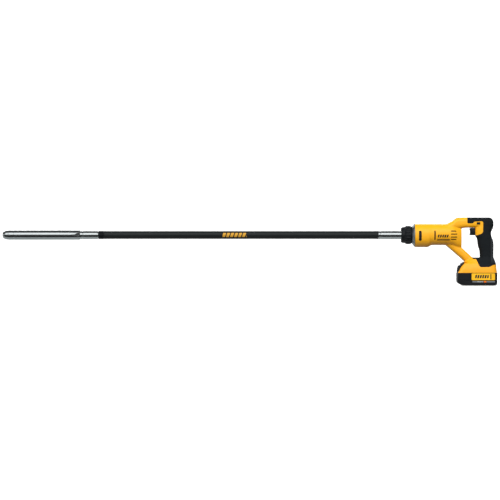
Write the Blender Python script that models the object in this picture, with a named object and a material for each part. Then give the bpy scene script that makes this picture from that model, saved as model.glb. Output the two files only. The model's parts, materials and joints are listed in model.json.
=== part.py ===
"""Cordless concrete vibrator: D-handled motor unit, planetary gear case, shaft casing and vibrating head.

Metres, +Z up. The origin is the centre of the battery pack's underside. The drive line lies along X at
height AXIS_Z, with the vibrating head at the far -X end. The tool's left side faces -Y.
"""

import math

import bmesh
import bpy
from mathutils import Matrix, Vector

# ---------------------------------------------------------------- driving dimensions

GAP = 0.0003  # between pieces that touch
WALL = 0.0028  # housing shell
ROUND = 20  # sides of a large turned piece
SMALL_ROUND = 16  # sides of a small turned piece

AXIS_Z = 0.152  # drive line above the pack's underside
HOUSING_FRONT = -0.186  # x of the yellow housing's front rim

# shaft casing and head, each length taken forward from the piece behind it
BEVEL_LENGTH = 0.008
COLLAR_LENGTH = 0.033
COUPLING_LENGTH = 0.068
HOSE_LENGTH = 0.823
FERRULE_LENGTH = 0.0165
FITTING_LENGTH = 0.055
HEAD_LENGTH = 0.215
CAP_LENGTH = 0.018

HOSE_RADIUS = 0.0120
HOSE_WALL = 0.0032
COUPLING_RADIUS = 0.0123
FITTING_RADIUS = 0.0123
FERRULE_RADIUS = 0.0127
HEAD_RADIUS = 0.0143
HEAD_WALL = 0.0034
LINER_WALL = 0.0013
BARB_LENGTH = 0.035  # tail of a steel fitting inside the hose

CORE_RADIUS = 0.0045  # flexible drive core
SPINDLE_RADIUS = 0.0060
BEARING_WIDTH = 0.0070
SPINDLE_BEARING_RADIUS = 0.0127
JOURNAL_RADIUS = 0.0040  # eccentric rotor's journals
COLLAR_RADIUS = 0.0275
COLLAR_RIBS = 16

# planetary stage: the ring is fixed, the sun drives, the carrier is the output
MODULE = 0.0006
SUN_TEETH = 24
PLANET_TEETH = 12
RING_TEETH = 48
PLANETS = 3
GEAR_WIDTH = 0.012
BACKLASH = 0.00010
PRESSURE_ANGLE = math.radians(20)

# motor
STATOR_RADIUS = 0.0250
STATOR_LENGTH = 0.038
ROTOR_RADIUS = 0.0145
AIR_GAP = 0.0006
MOTOR_SHAFT_RADIUS = 0.0025
MOTOR_BEARING_RADIUS = 0.0080
MOTOR_BEARING_WIDTH = 0.0050
FAN_RADIUS = 0.0240
FAN_BLADES = 9

# housing
GEAR_HALF = 0.0350  # half height of the barrel round the gear case
MOTOR_HALF = 0.0318  # half height of the barrel round the motor
GRIP_HALF_WIDTH = 0.0178
FOOT_HALF_WIDTH = 0.0360
FLANGE_SCREW_CIRCLE = 0.0305
BOSS_RADIUS = 0.0040
FLANGE_BOSS_RADIUS = 0.0036
SCREW_RADIUS = 0.0015
SCREW_HEAD_RADIUS = 0.0031

# trigger and lock button
TRIGGER_LENGTH = 0.0190
TRIGGER_HALF_WIDTH = 0.0085
TRIGGER_LOW = 0.1512
TRIGGER_HIGH = 0.1734
TRIGGER_FRONT = -0.0230
TRIGGER_TRAVEL = 0.0065
LOCK_LENGTH = 0.0100
LOCK_HEIGHT = 0.0066

# battery pack
PACK_LENGTH = 0.122
PACK_HALF_WIDTH = 0.0375
PACK_SEAM = 0.0155  # height of the joint between tray and cover
PACK_TOP = 0.0382
PACK_WALL = 0.0020
RAIL_NECK_HALF = 0.0215
RAIL_FLANGE_HALF = 0.0255
HUMP_HALF_WIDTH = RAIL_FLANGE_HALF + 0.0020
RAIL_FLANGE_LOW = 0.0446
RAIL_TOP = 0.0520
RAIL_FRONT = -0.0450
RAIL_BACK = 0.0470
CELL_RADIUS = 0.0090
CELL_LENGTH = 0.0650
CELLS_IN_ROW = 5
LATCH_TRAVEL = 0.0040
LATCH_SPRING_LENGTH = 0.0110
RELEASE_HALF_WIDTH = 0.0160
BLADES = 4
BLADE_SPACING = 0.0080
BLADE_THICKNESS = 0.0009

# colours: base colour, roughness, metallic
YELLOW = ((0.95, 0.50, 0.01), 0.42, 0.0)
BLACK_GRIP = ((0.012, 0.014, 0.016), 0.75, 0.0)
BLACK_PLASTIC = ((0.016, 0.017, 0.020), 0.50, 0.0)
BLACK_HOSE = ((0.018, 0.022, 0.024), 0.60, 0.0)
STEEL = ((0.60, 0.62, 0.63), 0.26, 1.0)
DARK_STEEL = ((0.20, 0.21, 0.22), 0.40, 1.0)
CAST_GREY = ((0.30, 0.32, 0.32), 0.45, 1.0)
COPPER = ((0.72, 0.33, 0.14), 0.35, 1.0)
BOARD_GREEN = ((0.03, 0.20, 0.09), 0.55, 0.0)
CELL_BLUE = ((0.05, 0.20, 0.45), 0.45, 0.0)
WIRE_RED = ((0.55, 0.03, 0.02), 0.50, 0.0)
ORANGE = ((0.90, 0.24, 0.02), 0.45, 0.0)

# ---------------------------------------------------------------- stations along the drive line

BEVEL_X = HOUSING_FRONT - BEVEL_LENGTH
COLLAR_X = BEVEL_X - COLLAR_LENGTH
TUBE_X = COLLAR_X - COUPLING_LENGTH
HOSE_X = TUBE_X - HOSE_LENGTH
FERRULE_X = HOSE_X - FERRULE_LENGTH
FITTING_X = FERRULE_X - FITTING_LENGTH
HEAD_X = FITTING_X - HEAD_LENGTH
TIP_X = HEAD_X - CAP_LENGTH

HEAD_BORE = HEAD_RADIUS - HEAD_WALL
SPIGOT_RADIUS = HEAD_BORE - GAP
SPIGOT_LENGTH = 0.016
HOSE_BORE = HOSE_RADIUS - HOSE_WALL
BARB_RADIUS = HOSE_BORE - GAP
CASING_BORE = HOSE_BORE - GAP - LINER_WALL
NOSE_RADIUS = 0.0177
NOSE_LENGTH = 0.0200
CHAMBER_RADIUS = MODULE * RING_TEETH / 2 + 0.0052
GEAR_CASE_BACK = -0.1500
CHAMBER_FRONT = HOUSING_FRONT + 0.0020
GEARS_X = CHAMBER_FRONT + 0.0080
ORBIT = MODULE * (SUN_TEETH + PLANET_TEETH) / 2
PIN_RADIUS = 0.0014
STATOR_FRONT = -0.1330
STATOR_BACK = STATOR_FRONT + STATOR_LENGTH
FAN_X = STATOR_FRONT - 0.0095
MOTOR_FRONT_BEARING_X = GEARS_X + GEAR_WIDTH + 0.0020
MOTOR_BACK_BEARING_X = STATOR_BACK + 0.0060
SHAFT_BACK = MOTOR_BACK_BEARING_X + MOTOR_BEARING_WIDTH
BELL_BACK = MOTOR_BACK_BEARING_X + MOTOR_BEARING_WIDTH + 0.0025

ON_AXIS = Vector((0.0, 0.0, AXIS_Z))
ALONG_X = Vector((1.0, 0.0, 0.0))
ALONG_Y = Vector((0.0, 1.0, 0.0))
ALONG_Z = Vector((0.0, 0.0, 1.0))


# ---------------------------------------------------------------- modelling helpers


def clear_scene():
    for thing in list(bpy.data.objects):
        bpy.data.objects.remove(thing, do_unlink=True)


def paint(thing, finish):
    """Gives the object its own Principled material."""
    colour, roughness, metallic = finish
    material = bpy.data.materials.new(thing.name)
    material.use_nodes = True
    shader = material.node_tree.nodes["Principled BSDF"]
    shader.inputs["Base Color"].default_value = (*colour, 1.0)
    shader.inputs["Roughness"].default_value = roughness
    shader.inputs["Metallic"].default_value = metallic
    thing.data.materials.clear()
    thing.data.materials.append(material)


def place(name, form, finish=None):
    """Turns a bmesh into an object, with its faces turned outwards."""
    bmesh.ops.recalc_face_normals(form, faces=form.faces)
    mesh = bpy.data.meshes.new(name)
    form.to_mesh(mesh)
    form.free()
    thing = bpy.data.objects.new(name, mesh)
    bpy.context.scene.collection.objects.link(thing)
    if finish:
        mesh.shade_smooth()
        mesh.set_sharp_from_angle(angle=math.radians(35))
        paint(thing, finish)
    return thing


def turned(name, profile, finish=None, centre=ON_AXIS, steps=ROUND, axis=ALONG_X):
    """Spins a profile of (distance along the axis, radius) points round an axis through centre.

    A profile that starts and ends on the axis, at radius 0, gets a flat disc at each end. Any other
    profile is closed into a ring.
    """
    side = ALONG_Z if axis != ALONG_Z else ALONG_X
    solid = profile[0][1] == 0.0
    points = profile[1:-1] if solid else profile
    form = bmesh.new()
    corners = [form.verts.new(centre + axis * along + side * radius) for along, radius in points]
    neighbours = corners[1:] if solid else corners[1:] + corners[:1]
    edges = [form.edges.new(pair) for pair in zip(corners, neighbours)]
    bmesh.ops.spin(
        form, geom=corners + edges, cent=centre, axis=axis, angle=math.tau, steps=steps, use_merge=True
    )
    bmesh.ops.remove_doubles(form, verts=form.verts, dist=1e-6)
    if solid:
        bmesh.ops.holes_fill(form, edges=[edge for edge in form.edges if edge.is_boundary])
    return place(name, form, finish)


def tube(name, start, end, outer, inner, finish, centre=ON_AXIS, steps=ROUND, axis=ALONG_X):
    profile = [(start, outer), (end, outer), (end, inner), (start, inner)]
    return turned(name, profile, finish, centre, steps, axis)


def rod(name, start, end, radius, finish=None, centre=ON_AXIS, steps=SMALL_ROUND, axis=ALONG_X):
    profile = [(start, 0.0), (start, radius), (end, radius), (end, 0.0)]
    return turned(name, profile, finish, centre, steps, axis)


def box(name, low, high, finish=None, round_edges=0.0):
    low, high = Vector(low), Vector(high)
    form = bmesh.new()
    placed = Matrix.Translation((low + high) / 2) @ Matrix.Diagonal((*(high - low), 1.0))
    bmesh.ops.create_cube(form, size=1.0, matrix=placed)
    if round_edges:
        edges = list(form.edges)
        bmesh.ops.bevel(form, geom=edges, offset=round_edges, segments=2, affect="EDGES", profile=0.5)
    return place(name, form, finish)


def prism(name, outline, start, end, axis=ALONG_Y, finish=None):
    """Extrudes a flat outline: (x, z) points along Y, or (y, z) points along X."""
    form = bmesh.new()
    if axis == ALONG_Y:
        corners = [form.verts.new((a, start, b)) for a, b in outline]
    else:
        corners = [form.verts.new((start, a, b)) for a, b in outline]
    base = form.faces.new(corners)
    grown = bmesh.ops.extrude_face_region(form, geom=[base])["geom"]
    moved = [v for v in grown if isinstance(v, bmesh.types.BMVert)]
    bmesh.ops.translate(form, verts=moved, vec=axis * (end - start))
    return place(name, form, finish)


def rounded_ring(centre, across, up, half_across, half_up, power, count):
    """Points round a superellipse: power 2 is an ellipse, a higher power is a squarer outline."""
    points = []
    for step in range(count):
        angle = math.tau * (step + 0.5) / count
        a = math.copysign(abs(math.cos(angle)) ** (2 / power), math.cos(angle)) * half_across
        b = math.copysign(abs(math.sin(angle)) ** (2 / power), math.sin(angle)) * half_up
        points.append(centre + across * a + up * b)
    return points


def lofted(name, rings, finish=None):
    """Skins a run of rings with equal point counts, and caps both ends."""
    form = bmesh.new()
    loops = [[form.verts.new(point) for point in ring] for ring in rings]
    for near, far in zip(loops, loops[1:]):
        for i in range(len(near)):
            j = (i + 1) % len(near)
            form.faces.new((near[i], near[j], far[j], far[i]))
    form.faces.new(loops[0])
    form.faces.new(loops[-1])
    return place(name, form, finish)


def copy_of(thing, name):
    twin = bpy.data.objects.new(name, thing.data.copy())
    bpy.context.scene.collection.objects.link(twin)
    return twin


def is_closed(mesh):
    form = bmesh.new()
    form.from_mesh(mesh)
    closed = all(edge.is_manifold for edge in form.edges)
    form.free()
    return closed


def combine(target, tool, operation, keep_tool=False):
    """Applies one Boolean to target and, unless it is kept, removes the tool.

    The exact solver comes first. Where it leaves a crack, the manifold solver makes the cut instead.
    """
    change = target.modifiers.new(operation.lower(), "BOOLEAN")
    change.operation = operation
    change.object = tool
    for solver in ("EXACT", "MANIFOLD"):
        change.solver = solver
        graph = bpy.context.evaluated_depsgraph_get()
        result = bpy.data.meshes.new_from_object(target.evaluated_get(graph))
        if is_closed(result):
            break
    target.modifiers.clear()
    target.data = result
    if not keep_tool:
        bpy.data.objects.remove(tool, do_unlink=True)
    return target


def cut(target, *tools):
    for tool in tools:
        combine(target, tool, "DIFFERENCE")
    return target


def join(target, *tools):
    for tool in tools:
        combine(target, tool, "UNION")
    return target


def dressed(thing, name, finish):
    """Names a finished solid, merges the flat faces that the cuts split, and gives it its material."""
    thing.name = name
    form = bmesh.new()
    form.from_mesh(thing.data)
    bmesh.ops.dissolve_limit(form, angle_limit=math.radians(0.2), verts=form.verts, edges=form.edges)
    bmesh.ops.triangulate(form, faces=form.faces)
    if all(edge.is_manifold for edge in form.edges):
        form.to_mesh(thing.data)
    form.free()
    thing.data.shade_smooth()
    thing.data.set_sharp_from_angle(angle=math.radians(35))
    paint(thing, finish)
    return thing


def wire(name, route, radius, finish, bevel_resolution):
    """A round wire along a list of points."""
    curve = bpy.data.curves.new(name, "CURVE")
    curve.dimensions = "3D"
    curve.bevel_depth = radius
    curve.bevel_resolution = bevel_resolution
    curve.use_fill_caps = True
    spline = curve.splines.new("POLY")
    spline.points.add(len(route) - 1)
    for point, place_of_point in zip(spline.points, route):
        point.co = (*place_of_point, 1.0)
    thing = bpy.data.objects.new(name, curve)
    bpy.context.scene.collection.objects.link(thing)
    paint(thing, finish)
    return thing


def coil(name, start, axis, length, radius, wire_radius, turns, finish):
    """A compression spring of round wire, wound round an axis from start."""
    side = ALONG_Z if axis != ALONG_Z else ALONG_X
    other = axis.cross(side)
    steps_per_turn = 8
    total = turns * steps_per_turn
    inner_length = length - 2 * wire_radius
    route = []
    for step in range(total + 1):
        angle = math.tau * step / steps_per_turn
        along = wire_radius + inner_length * step / total
        around = side * math.cos(angle) + other * math.sin(angle)
        route.append(start + axis * along + around * radius)
    return wire(name, route, wire_radius, finish, 0)


def smooth_route(points, spacing):
    """Points a set distance apart on a smooth curve through the given ones."""
    spots = [Vector(p) for p in points]
    padded = [spots[0] * 2 - spots[1]] + spots + [spots[-1] * 2 - spots[-2]]
    route = [spots[0]]
    for a, b, c, d in zip(padded, padded[1:], padded[2:], padded[3:]):
        parts = max(1, round((c - b).length / spacing))
        for part in range(1, parts + 1):
            t = part / parts
            bend = (2 * a - 5 * b + 4 * c - d) * t * t + (3 * b - a - 3 * c + d) * t**3
            route.append((2 * b + (c - a) * t + bend) / 2)
    return route


# ---------------------------------------------------------------- toothed gears


def involute(angle):
    return math.tan(angle) - angle


def tooth_half_angle(teeth, radius, thinning):
    """Half the angle that a tooth fills at a radius, on its involute flank."""
    pitch = MODULE * teeth / 2
    base = pitch * math.cos(PRESSURE_ANGLE)
    lean = involute(math.acos(base / radius)) if radius > base else 0.0
    return math.pi / (2 * teeth) + involute(PRESSURE_ANGLE) - lean - thinning / (2 * pitch)


def gear_outline(teeth, outwards, inwards, thinning, centre, turn):
    """A toothed outline as (y, z) points, with a tooth centred at the angle turn from +Y."""
    pitch = MODULE * teeth / 2
    radii = (pitch - inwards, pitch + outwards)
    halves = [tooth_half_angle(teeth, radius, thinning) for radius in radii]
    points = []
    for tooth in range(teeth):
        middle = turn + math.tau * tooth / teeth
        flank = list(zip(radii, halves))
        for radius, half in flank:
            points.append((radius, middle - half))
        for radius, half in reversed(flank):
            points.append((radius, middle + half))
    return [(centre[0] + r * math.cos(a), centre[1] + r * math.sin(a)) for r, a in points]


def make_planetary_stage():
    """Three planets between a fixed ring and the sun, all in mesh at rest."""
    start, end = GEARS_X, GEARS_X + GEAR_WIDTH
    addendum, dedendum = MODULE, 1.25 * MODULE
    middle = (0.0, AXIS_Z)

    sun = gear_outline(SUN_TEETH, addendum, dedendum, BACKLASH, middle, 0.0)
    pinion = prism("sun_pinion", sun, start, end, ALONG_X)
    bore = rod("bore", start - 0.001, end + 0.001, MOTOR_SHAFT_RADIUS + GAP)
    dressed(cut(pinion, bore), "sun_pinion", STEEL)

    space = gear_outline(RING_TEETH, dedendum, addendum, -BACKLASH, middle, math.pi / RING_TEETH)
    ring = rod("ring_gear", start, end, CHAMBER_RADIUS - GAP, steps=24)
    hole = prism("hole", space, start - 0.001, end + 0.001, ALONG_X)
    dressed(cut(ring, hole), "ring_gear", DARK_STEEL)

    for number in range(PLANETS):
        angle = math.tau * number / PLANETS
        centre = (ORBIT * math.cos(angle), AXIS_Z + ORBIT * math.sin(angle))
        teeth = gear_outline(PLANET_TEETH, addendum, dedendum, BACKLASH, centre, math.pi / PLANET_TEETH)
        planet = prism("planet", teeth, start, end, ALONG_X)
        spot = Vector((0.0, *centre))
        bore = rod("bore", start - 0.001, end + 0.001, PIN_RADIUS + GAP, centre=spot, steps=12)
        dressed(cut(planet, bore), f"planet_gear_{number + 1}", STEEL)


def make_carrier():
    """Output spindle, carrier disc and planet pins in one forging, with a socket for the drive core."""
    disc_back = GEARS_X - 0.0006
    disc_front = CHAMBER_FRONT + 0.0010
    disc_radius = ORBIT + 0.0050
    nose = BEVEL_X - NOSE_LENGTH + 0.0020
    profile = [
        (nose + 0.016, 0.0),
        (nose + 0.016, CORE_RADIUS + GAP),
        (nose, CORE_RADIUS + GAP),
        (nose, SPINDLE_RADIUS),
        (disc_front, SPINDLE_RADIUS),
        (disc_front, disc_radius),
        (disc_back, disc_radius),
        (disc_back, 0.0),
    ]
    carrier = turned("carrier", profile)
    for number in range(PLANETS):
        angle = math.tau * number / PLANETS
        spot = Vector((0.0, ORBIT * math.cos(angle), AXIS_Z + ORBIT * math.sin(angle)))
        pin_back = GEARS_X + GEAR_WIDTH + 0.0008
        join(carrier, rod("pin", disc_front + 0.001, pin_back, PIN_RADIUS, None, spot, 12))
    dressed(carrier, "planet_carrier", STEEL)


# ---------------------------------------------------------------- gear case, motor


def flange_spot(number, circle=FLANGE_SCREW_CIRCLE):
    angle = math.radians(90 * number - 45)
    return Vector((0.0, circle * math.cos(angle), AXIS_Z + circle * math.sin(angle)))


def flange_screw_spots():
    for number in range(1, 5):
        yield number, flange_spot(number)


def make_gear_case():
    nose_front = BEVEL_X - NOSE_LENGTH
    seat = SPINDLE_BEARING_RADIUS + GAP
    body = CHAMBER_RADIUS + 0.0045
    rim = HOUSING_FRONT - GAP
    profile = [
        (nose_front, NOSE_RADIUS),
        (BEVEL_X - 0.0003, NOSE_RADIUS),
        (BEVEL_X - 0.0003, COLLAR_RADIUS - 0.0015),
        (BEVEL_X + 0.0010, COLLAR_RADIUS),
        (rim - 0.0015, GEAR_HALF - 0.0008),
        (rim, GEAR_HALF - 0.0008),
        (rim, body),
        (GEAR_CASE_BACK, body),
        (GEAR_CASE_BACK, CHAMBER_RADIUS),
        (CHAMBER_FRONT, CHAMBER_RADIUS),
        (CHAMBER_FRONT, seat),
        (nose_front, seat),
    ]
    case = turned("gear_case", profile, steps=24)
    for _, spot in flange_screw_spots():
        cut(case, rod("hole", BEVEL_X - 0.01, rim + 0.001, SCREW_RADIUS + GAP, None, spot, 8))
        cut(case, rod("recess", BEVEL_X - 0.01, rim - 0.0028, SCREW_HEAD_RADIUS + GAP, None, spot, 12))
    dressed(case, "gear_case", CAST_GREY)
    for number, spot in flange_screw_spots():
        head = rim - 0.0028 - GAP
        profile = [
            (head - 0.0022, 0.0),
            (head - 0.0022, SCREW_HEAD_RADIUS),
            (head, SCREW_HEAD_RADIUS),
            (head, SCREW_RADIUS),
            (HOUSING_FRONT + 0.012, SCREW_RADIUS),
            (HOUSING_FRONT + 0.012, 0.0),
        ]
        turned(f"flange_screw_{number}", profile, DARK_STEEL, spot, 8)

    seal_front = nose_front + 0.0010
    seal_bore = SPINDLE_RADIUS + GAP
    seal_back = seal_front + 0.0045
    tube("shaft_seal", seal_front, seal_back, SPINDLE_BEARING_RADIUS, seal_bore, BLACK_PLASTIC, steps=24)
    front = seal_front + 0.0045 + GAP
    back = CHAMBER_FRONT - BEARING_WIDTH - GAP
    bearing("spindle_bearing_front", front, SPINDLE_BEARING_RADIUS, SPINDLE_RADIUS + GAP, BEARING_WIDTH)
    bearing("spindle_bearing_rear", back, SPINDLE_BEARING_RADIUS, SPINDLE_RADIUS + GAP, BEARING_WIDTH)


def bearing(name, start, outer, inner, width):
    """A sealed ball bearing, as one ring."""
    return tube(name, start, start + width, outer, inner, STEEL, steps=20)


def make_motor():
    plate_front = GEARS_X + GEAR_WIDTH + 0.0012
    seat = MOTOR_BEARING_RADIUS + GAP
    bearing_end = MOTOR_FRONT_BEARING_X + MOTOR_BEARING_WIDTH + GAP
    profile = [
        (plate_front, seat),
        (plate_front, CHAMBER_RADIUS - GAP),
        (GEAR_CASE_BACK + GAP, CHAMBER_RADIUS - GAP),
        (GEAR_CASE_BACK + GAP, CHAMBER_RADIUS + 0.0045),
        (GEAR_CASE_BACK + 0.0028, CHAMBER_RADIUS + 0.0045),
        (GEAR_CASE_BACK + 0.0028, seat - 0.002),
        (bearing_end, seat - 0.002),
        (bearing_end, seat),
    ]
    turned("gearbox_plate", profile, CAST_GREY)
    inner = MOTOR_SHAFT_RADIUS + GAP
    bearing("motor_bearing_front", MOTOR_FRONT_BEARING_X, MOTOR_BEARING_RADIUS, inner, MOTOR_BEARING_WIDTH)
    bearing("motor_bearing_rear", MOTOR_BACK_BEARING_X, MOTOR_BEARING_RADIUS, inner, MOTOR_BEARING_WIDTH)

    rod("motor_shaft", GEARS_X + 0.0005, SHAFT_BACK, MOTOR_SHAFT_RADIUS, STEEL, steps=16)
    lamination = [
        (STATOR_FRONT + 0.002, inner),
        (STATOR_FRONT + 0.002, ROTOR_RADIUS - 0.002),
        (STATOR_FRONT + 0.004, ROTOR_RADIUS),
        (STATOR_BACK - 0.004, ROTOR_RADIUS),
        (STATOR_BACK - 0.002, ROTOR_RADIUS - 0.002),
        (STATOR_BACK - 0.002, inner),
    ]
    turned("rotor_core", lamination, DARK_STEEL)

    bore = ROTOR_RADIUS + AIR_GAP
    winding = 0.0060
    profile = [
        (STATOR_FRONT, bore + 0.002),
        (STATOR_FRONT, STATOR_RADIUS - 0.003),
        (STATOR_FRONT + winding, STATOR_RADIUS - 0.003),
        (STATOR_FRONT + winding, STATOR_RADIUS),
        (STATOR_BACK - winding, STATOR_RADIUS),
        (STATOR_BACK - winding, STATOR_RADIUS - 0.003),
        (STATOR_BACK, STATOR_RADIUS - 0.003),
        (STATOR_BACK, bore + 0.002),
        (STATOR_BACK - winding, bore),
        (STATOR_FRONT + winding, bore),
    ]
    turned("stator", profile, COPPER)

    bell_front = STATOR_BACK + GAP
    profile = [
        (BELL_BACK, 0.0),
        (BELL_BACK, seat + 0.0030),
        (bell_front + 0.0060, STATOR_RADIUS - 0.0020),
        (bell_front, STATOR_RADIUS),
        (bell_front, STATOR_RADIUS - 0.0030),
        (bell_front + 0.0030, STATOR_RADIUS - 0.0045),
        (bell_front + 0.0030, seat),
        (BELL_BACK - 0.0020, seat),
        (BELL_BACK - 0.0020, 0.0),
    ]
    turned("motor_end_bell", profile, BLACK_PLASTIC)
    make_fan()


def make_fan():
    hub = 0.0070
    half_blade = 0.0009
    outline = []
    for blade in range(FAN_BLADES):
        middle = math.tau * blade / FAN_BLADES
        for radius, side in ((hub, -1), (FAN_RADIUS, -1), (FAN_RADIUS, 1), (hub, 1)):
            angle = middle + side * math.asin(half_blade / radius)
            outline.append((radius * math.cos(angle), AXIS_Z + radius * math.sin(angle)))
    fan = prism("fan", outline, FAN_X, FAN_X + 0.0060, ALONG_X)
    join(fan, rod("disc", FAN_X + 0.0045, FAN_X + 0.0065, FAN_RADIUS - 0.0005, steps=ROUND))
    cut(fan, rod("bore", FAN_X - 0.001, FAN_X + 0.008, MOTOR_SHAFT_RADIUS + GAP, steps=16))
    dressed(fan, "cooling_fan", BLACK_PLASTIC)


# ---------------------------------------------------------------- coupling collar, casing and head


def make_collar():
    """The ribbed coupling nut that clamps the coupling tube's flange to the gear case's nose."""
    back = BEVEL_X - GAP - 0.0003
    lip = COLLAR_X + 0.0060
    outline = [
        (COLLAR_X, COLLAR_RADIUS - 0.0060),
        (COLLAR_X + 0.0030, COLLAR_RADIUS - 0.0036),
        (COLLAR_X + 0.0110, COLLAR_RADIUS - 0.0032),
        (COLLAR_X + 0.0155, COLLAR_RADIUS),
        (back - 0.0065, COLLAR_RADIUS),
        (back, COLLAR_RADIUS - 0.0028),
    ]
    rib_depth = 0.0011
    rings = []
    for along, radius in outline:
        ring = []
        for step in range(COLLAR_RIBS * 4):
            angle = math.tau * step / (COLLAR_RIBS * 4)
            reach = radius if step % 4 in (0, 1) else radius - rib_depth
            ring.append(Vector((along, reach * math.cos(angle), AXIS_Z + reach * math.sin(angle))))
        rings.append(ring)
    nut = lofted("nut", rings)
    cut(nut, rod("thread", lip, back + 0.001, NOSE_RADIUS + GAP, steps=ROUND))
    cut(nut, rod("mouth", COLLAR_X - 0.001, lip + 0.001, COUPLING_RADIUS + GAP, steps=ROUND))
    dressed(nut, "nose_collar", BLACK_PLASTIC)


def make_casing():
    """Steel coupling tube, hose with its liner, ferrule and the head's end fitting."""
    flange_back = BEVEL_X - NOSE_LENGTH - GAP
    flange_front = COLLAR_X + 0.0060 + GAP
    profile = [
        (TUBE_X + GAP, COUPLING_RADIUS),
        (flange_front, COUPLING_RADIUS),
        (flange_front, NOSE_RADIUS - 0.0005),
        (flange_back, NOSE_RADIUS - 0.0005),
        (flange_back, CASING_BORE),
        (TUBE_X - BARB_LENGTH, CASING_BORE),
        (TUBE_X - BARB_LENGTH, BARB_RADIUS - 0.0006),
        (TUBE_X - BARB_LENGTH + 0.004, BARB_RADIUS),
        (TUBE_X + GAP, BARB_RADIUS),
    ]
    turned("coupling_tube", profile, STEEL)
    tube("hose", HOSE_X, TUBE_X, HOSE_RADIUS, HOSE_BORE, BLACK_HOSE)
    barb_end = FERRULE_X + BARB_LENGTH
    tube(
        "hose_liner",
        barb_end + GAP,
        TUBE_X - BARB_LENGTH - GAP,
        HOSE_BORE - GAP,
        CASING_BORE,
        DARK_STEEL,
        steps=24,
    )

    rings = 3
    pitch = (FERRULE_LENGTH - 2 * GAP) / rings
    ferrule = [(HOSE_X - GAP, HOSE_BORE), (FERRULE_X + GAP, HOSE_BORE)]
    for ring in range(rings):
        start = FERRULE_X + GAP + ring * pitch
        ferrule += [(start, FERRULE_RADIUS - 0.0006), (start + pitch * 0.5, FERRULE_RADIUS)]
    ferrule.append((HOSE_X - GAP, FERRULE_RADIUS - 0.0006))
    turned("hose_ferrule", ferrule, BLACK_PLASTIC)

    spigot = FITTING_X - SPIGOT_LENGTH
    profile = [
        (spigot, SPIGOT_RADIUS),
        (FITTING_X, SPIGOT_RADIUS),
        (FITTING_X, FITTING_RADIUS - 0.0005),
        (FITTING_X + 0.0010, FITTING_RADIUS),
        (FERRULE_X - 0.0030, FITTING_RADIUS),
        (FERRULE_X, FITTING_RADIUS - 0.0014),
        (FERRULE_X, BARB_RADIUS),
        (barb_end - 0.004, BARB_RADIUS),
        (barb_end, BARB_RADIUS - 0.0006),
        (barb_end, CASING_BORE),
        (spigot, CASING_BORE),
    ]
    turned("head_end_fitting", profile, STEEL)


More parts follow.
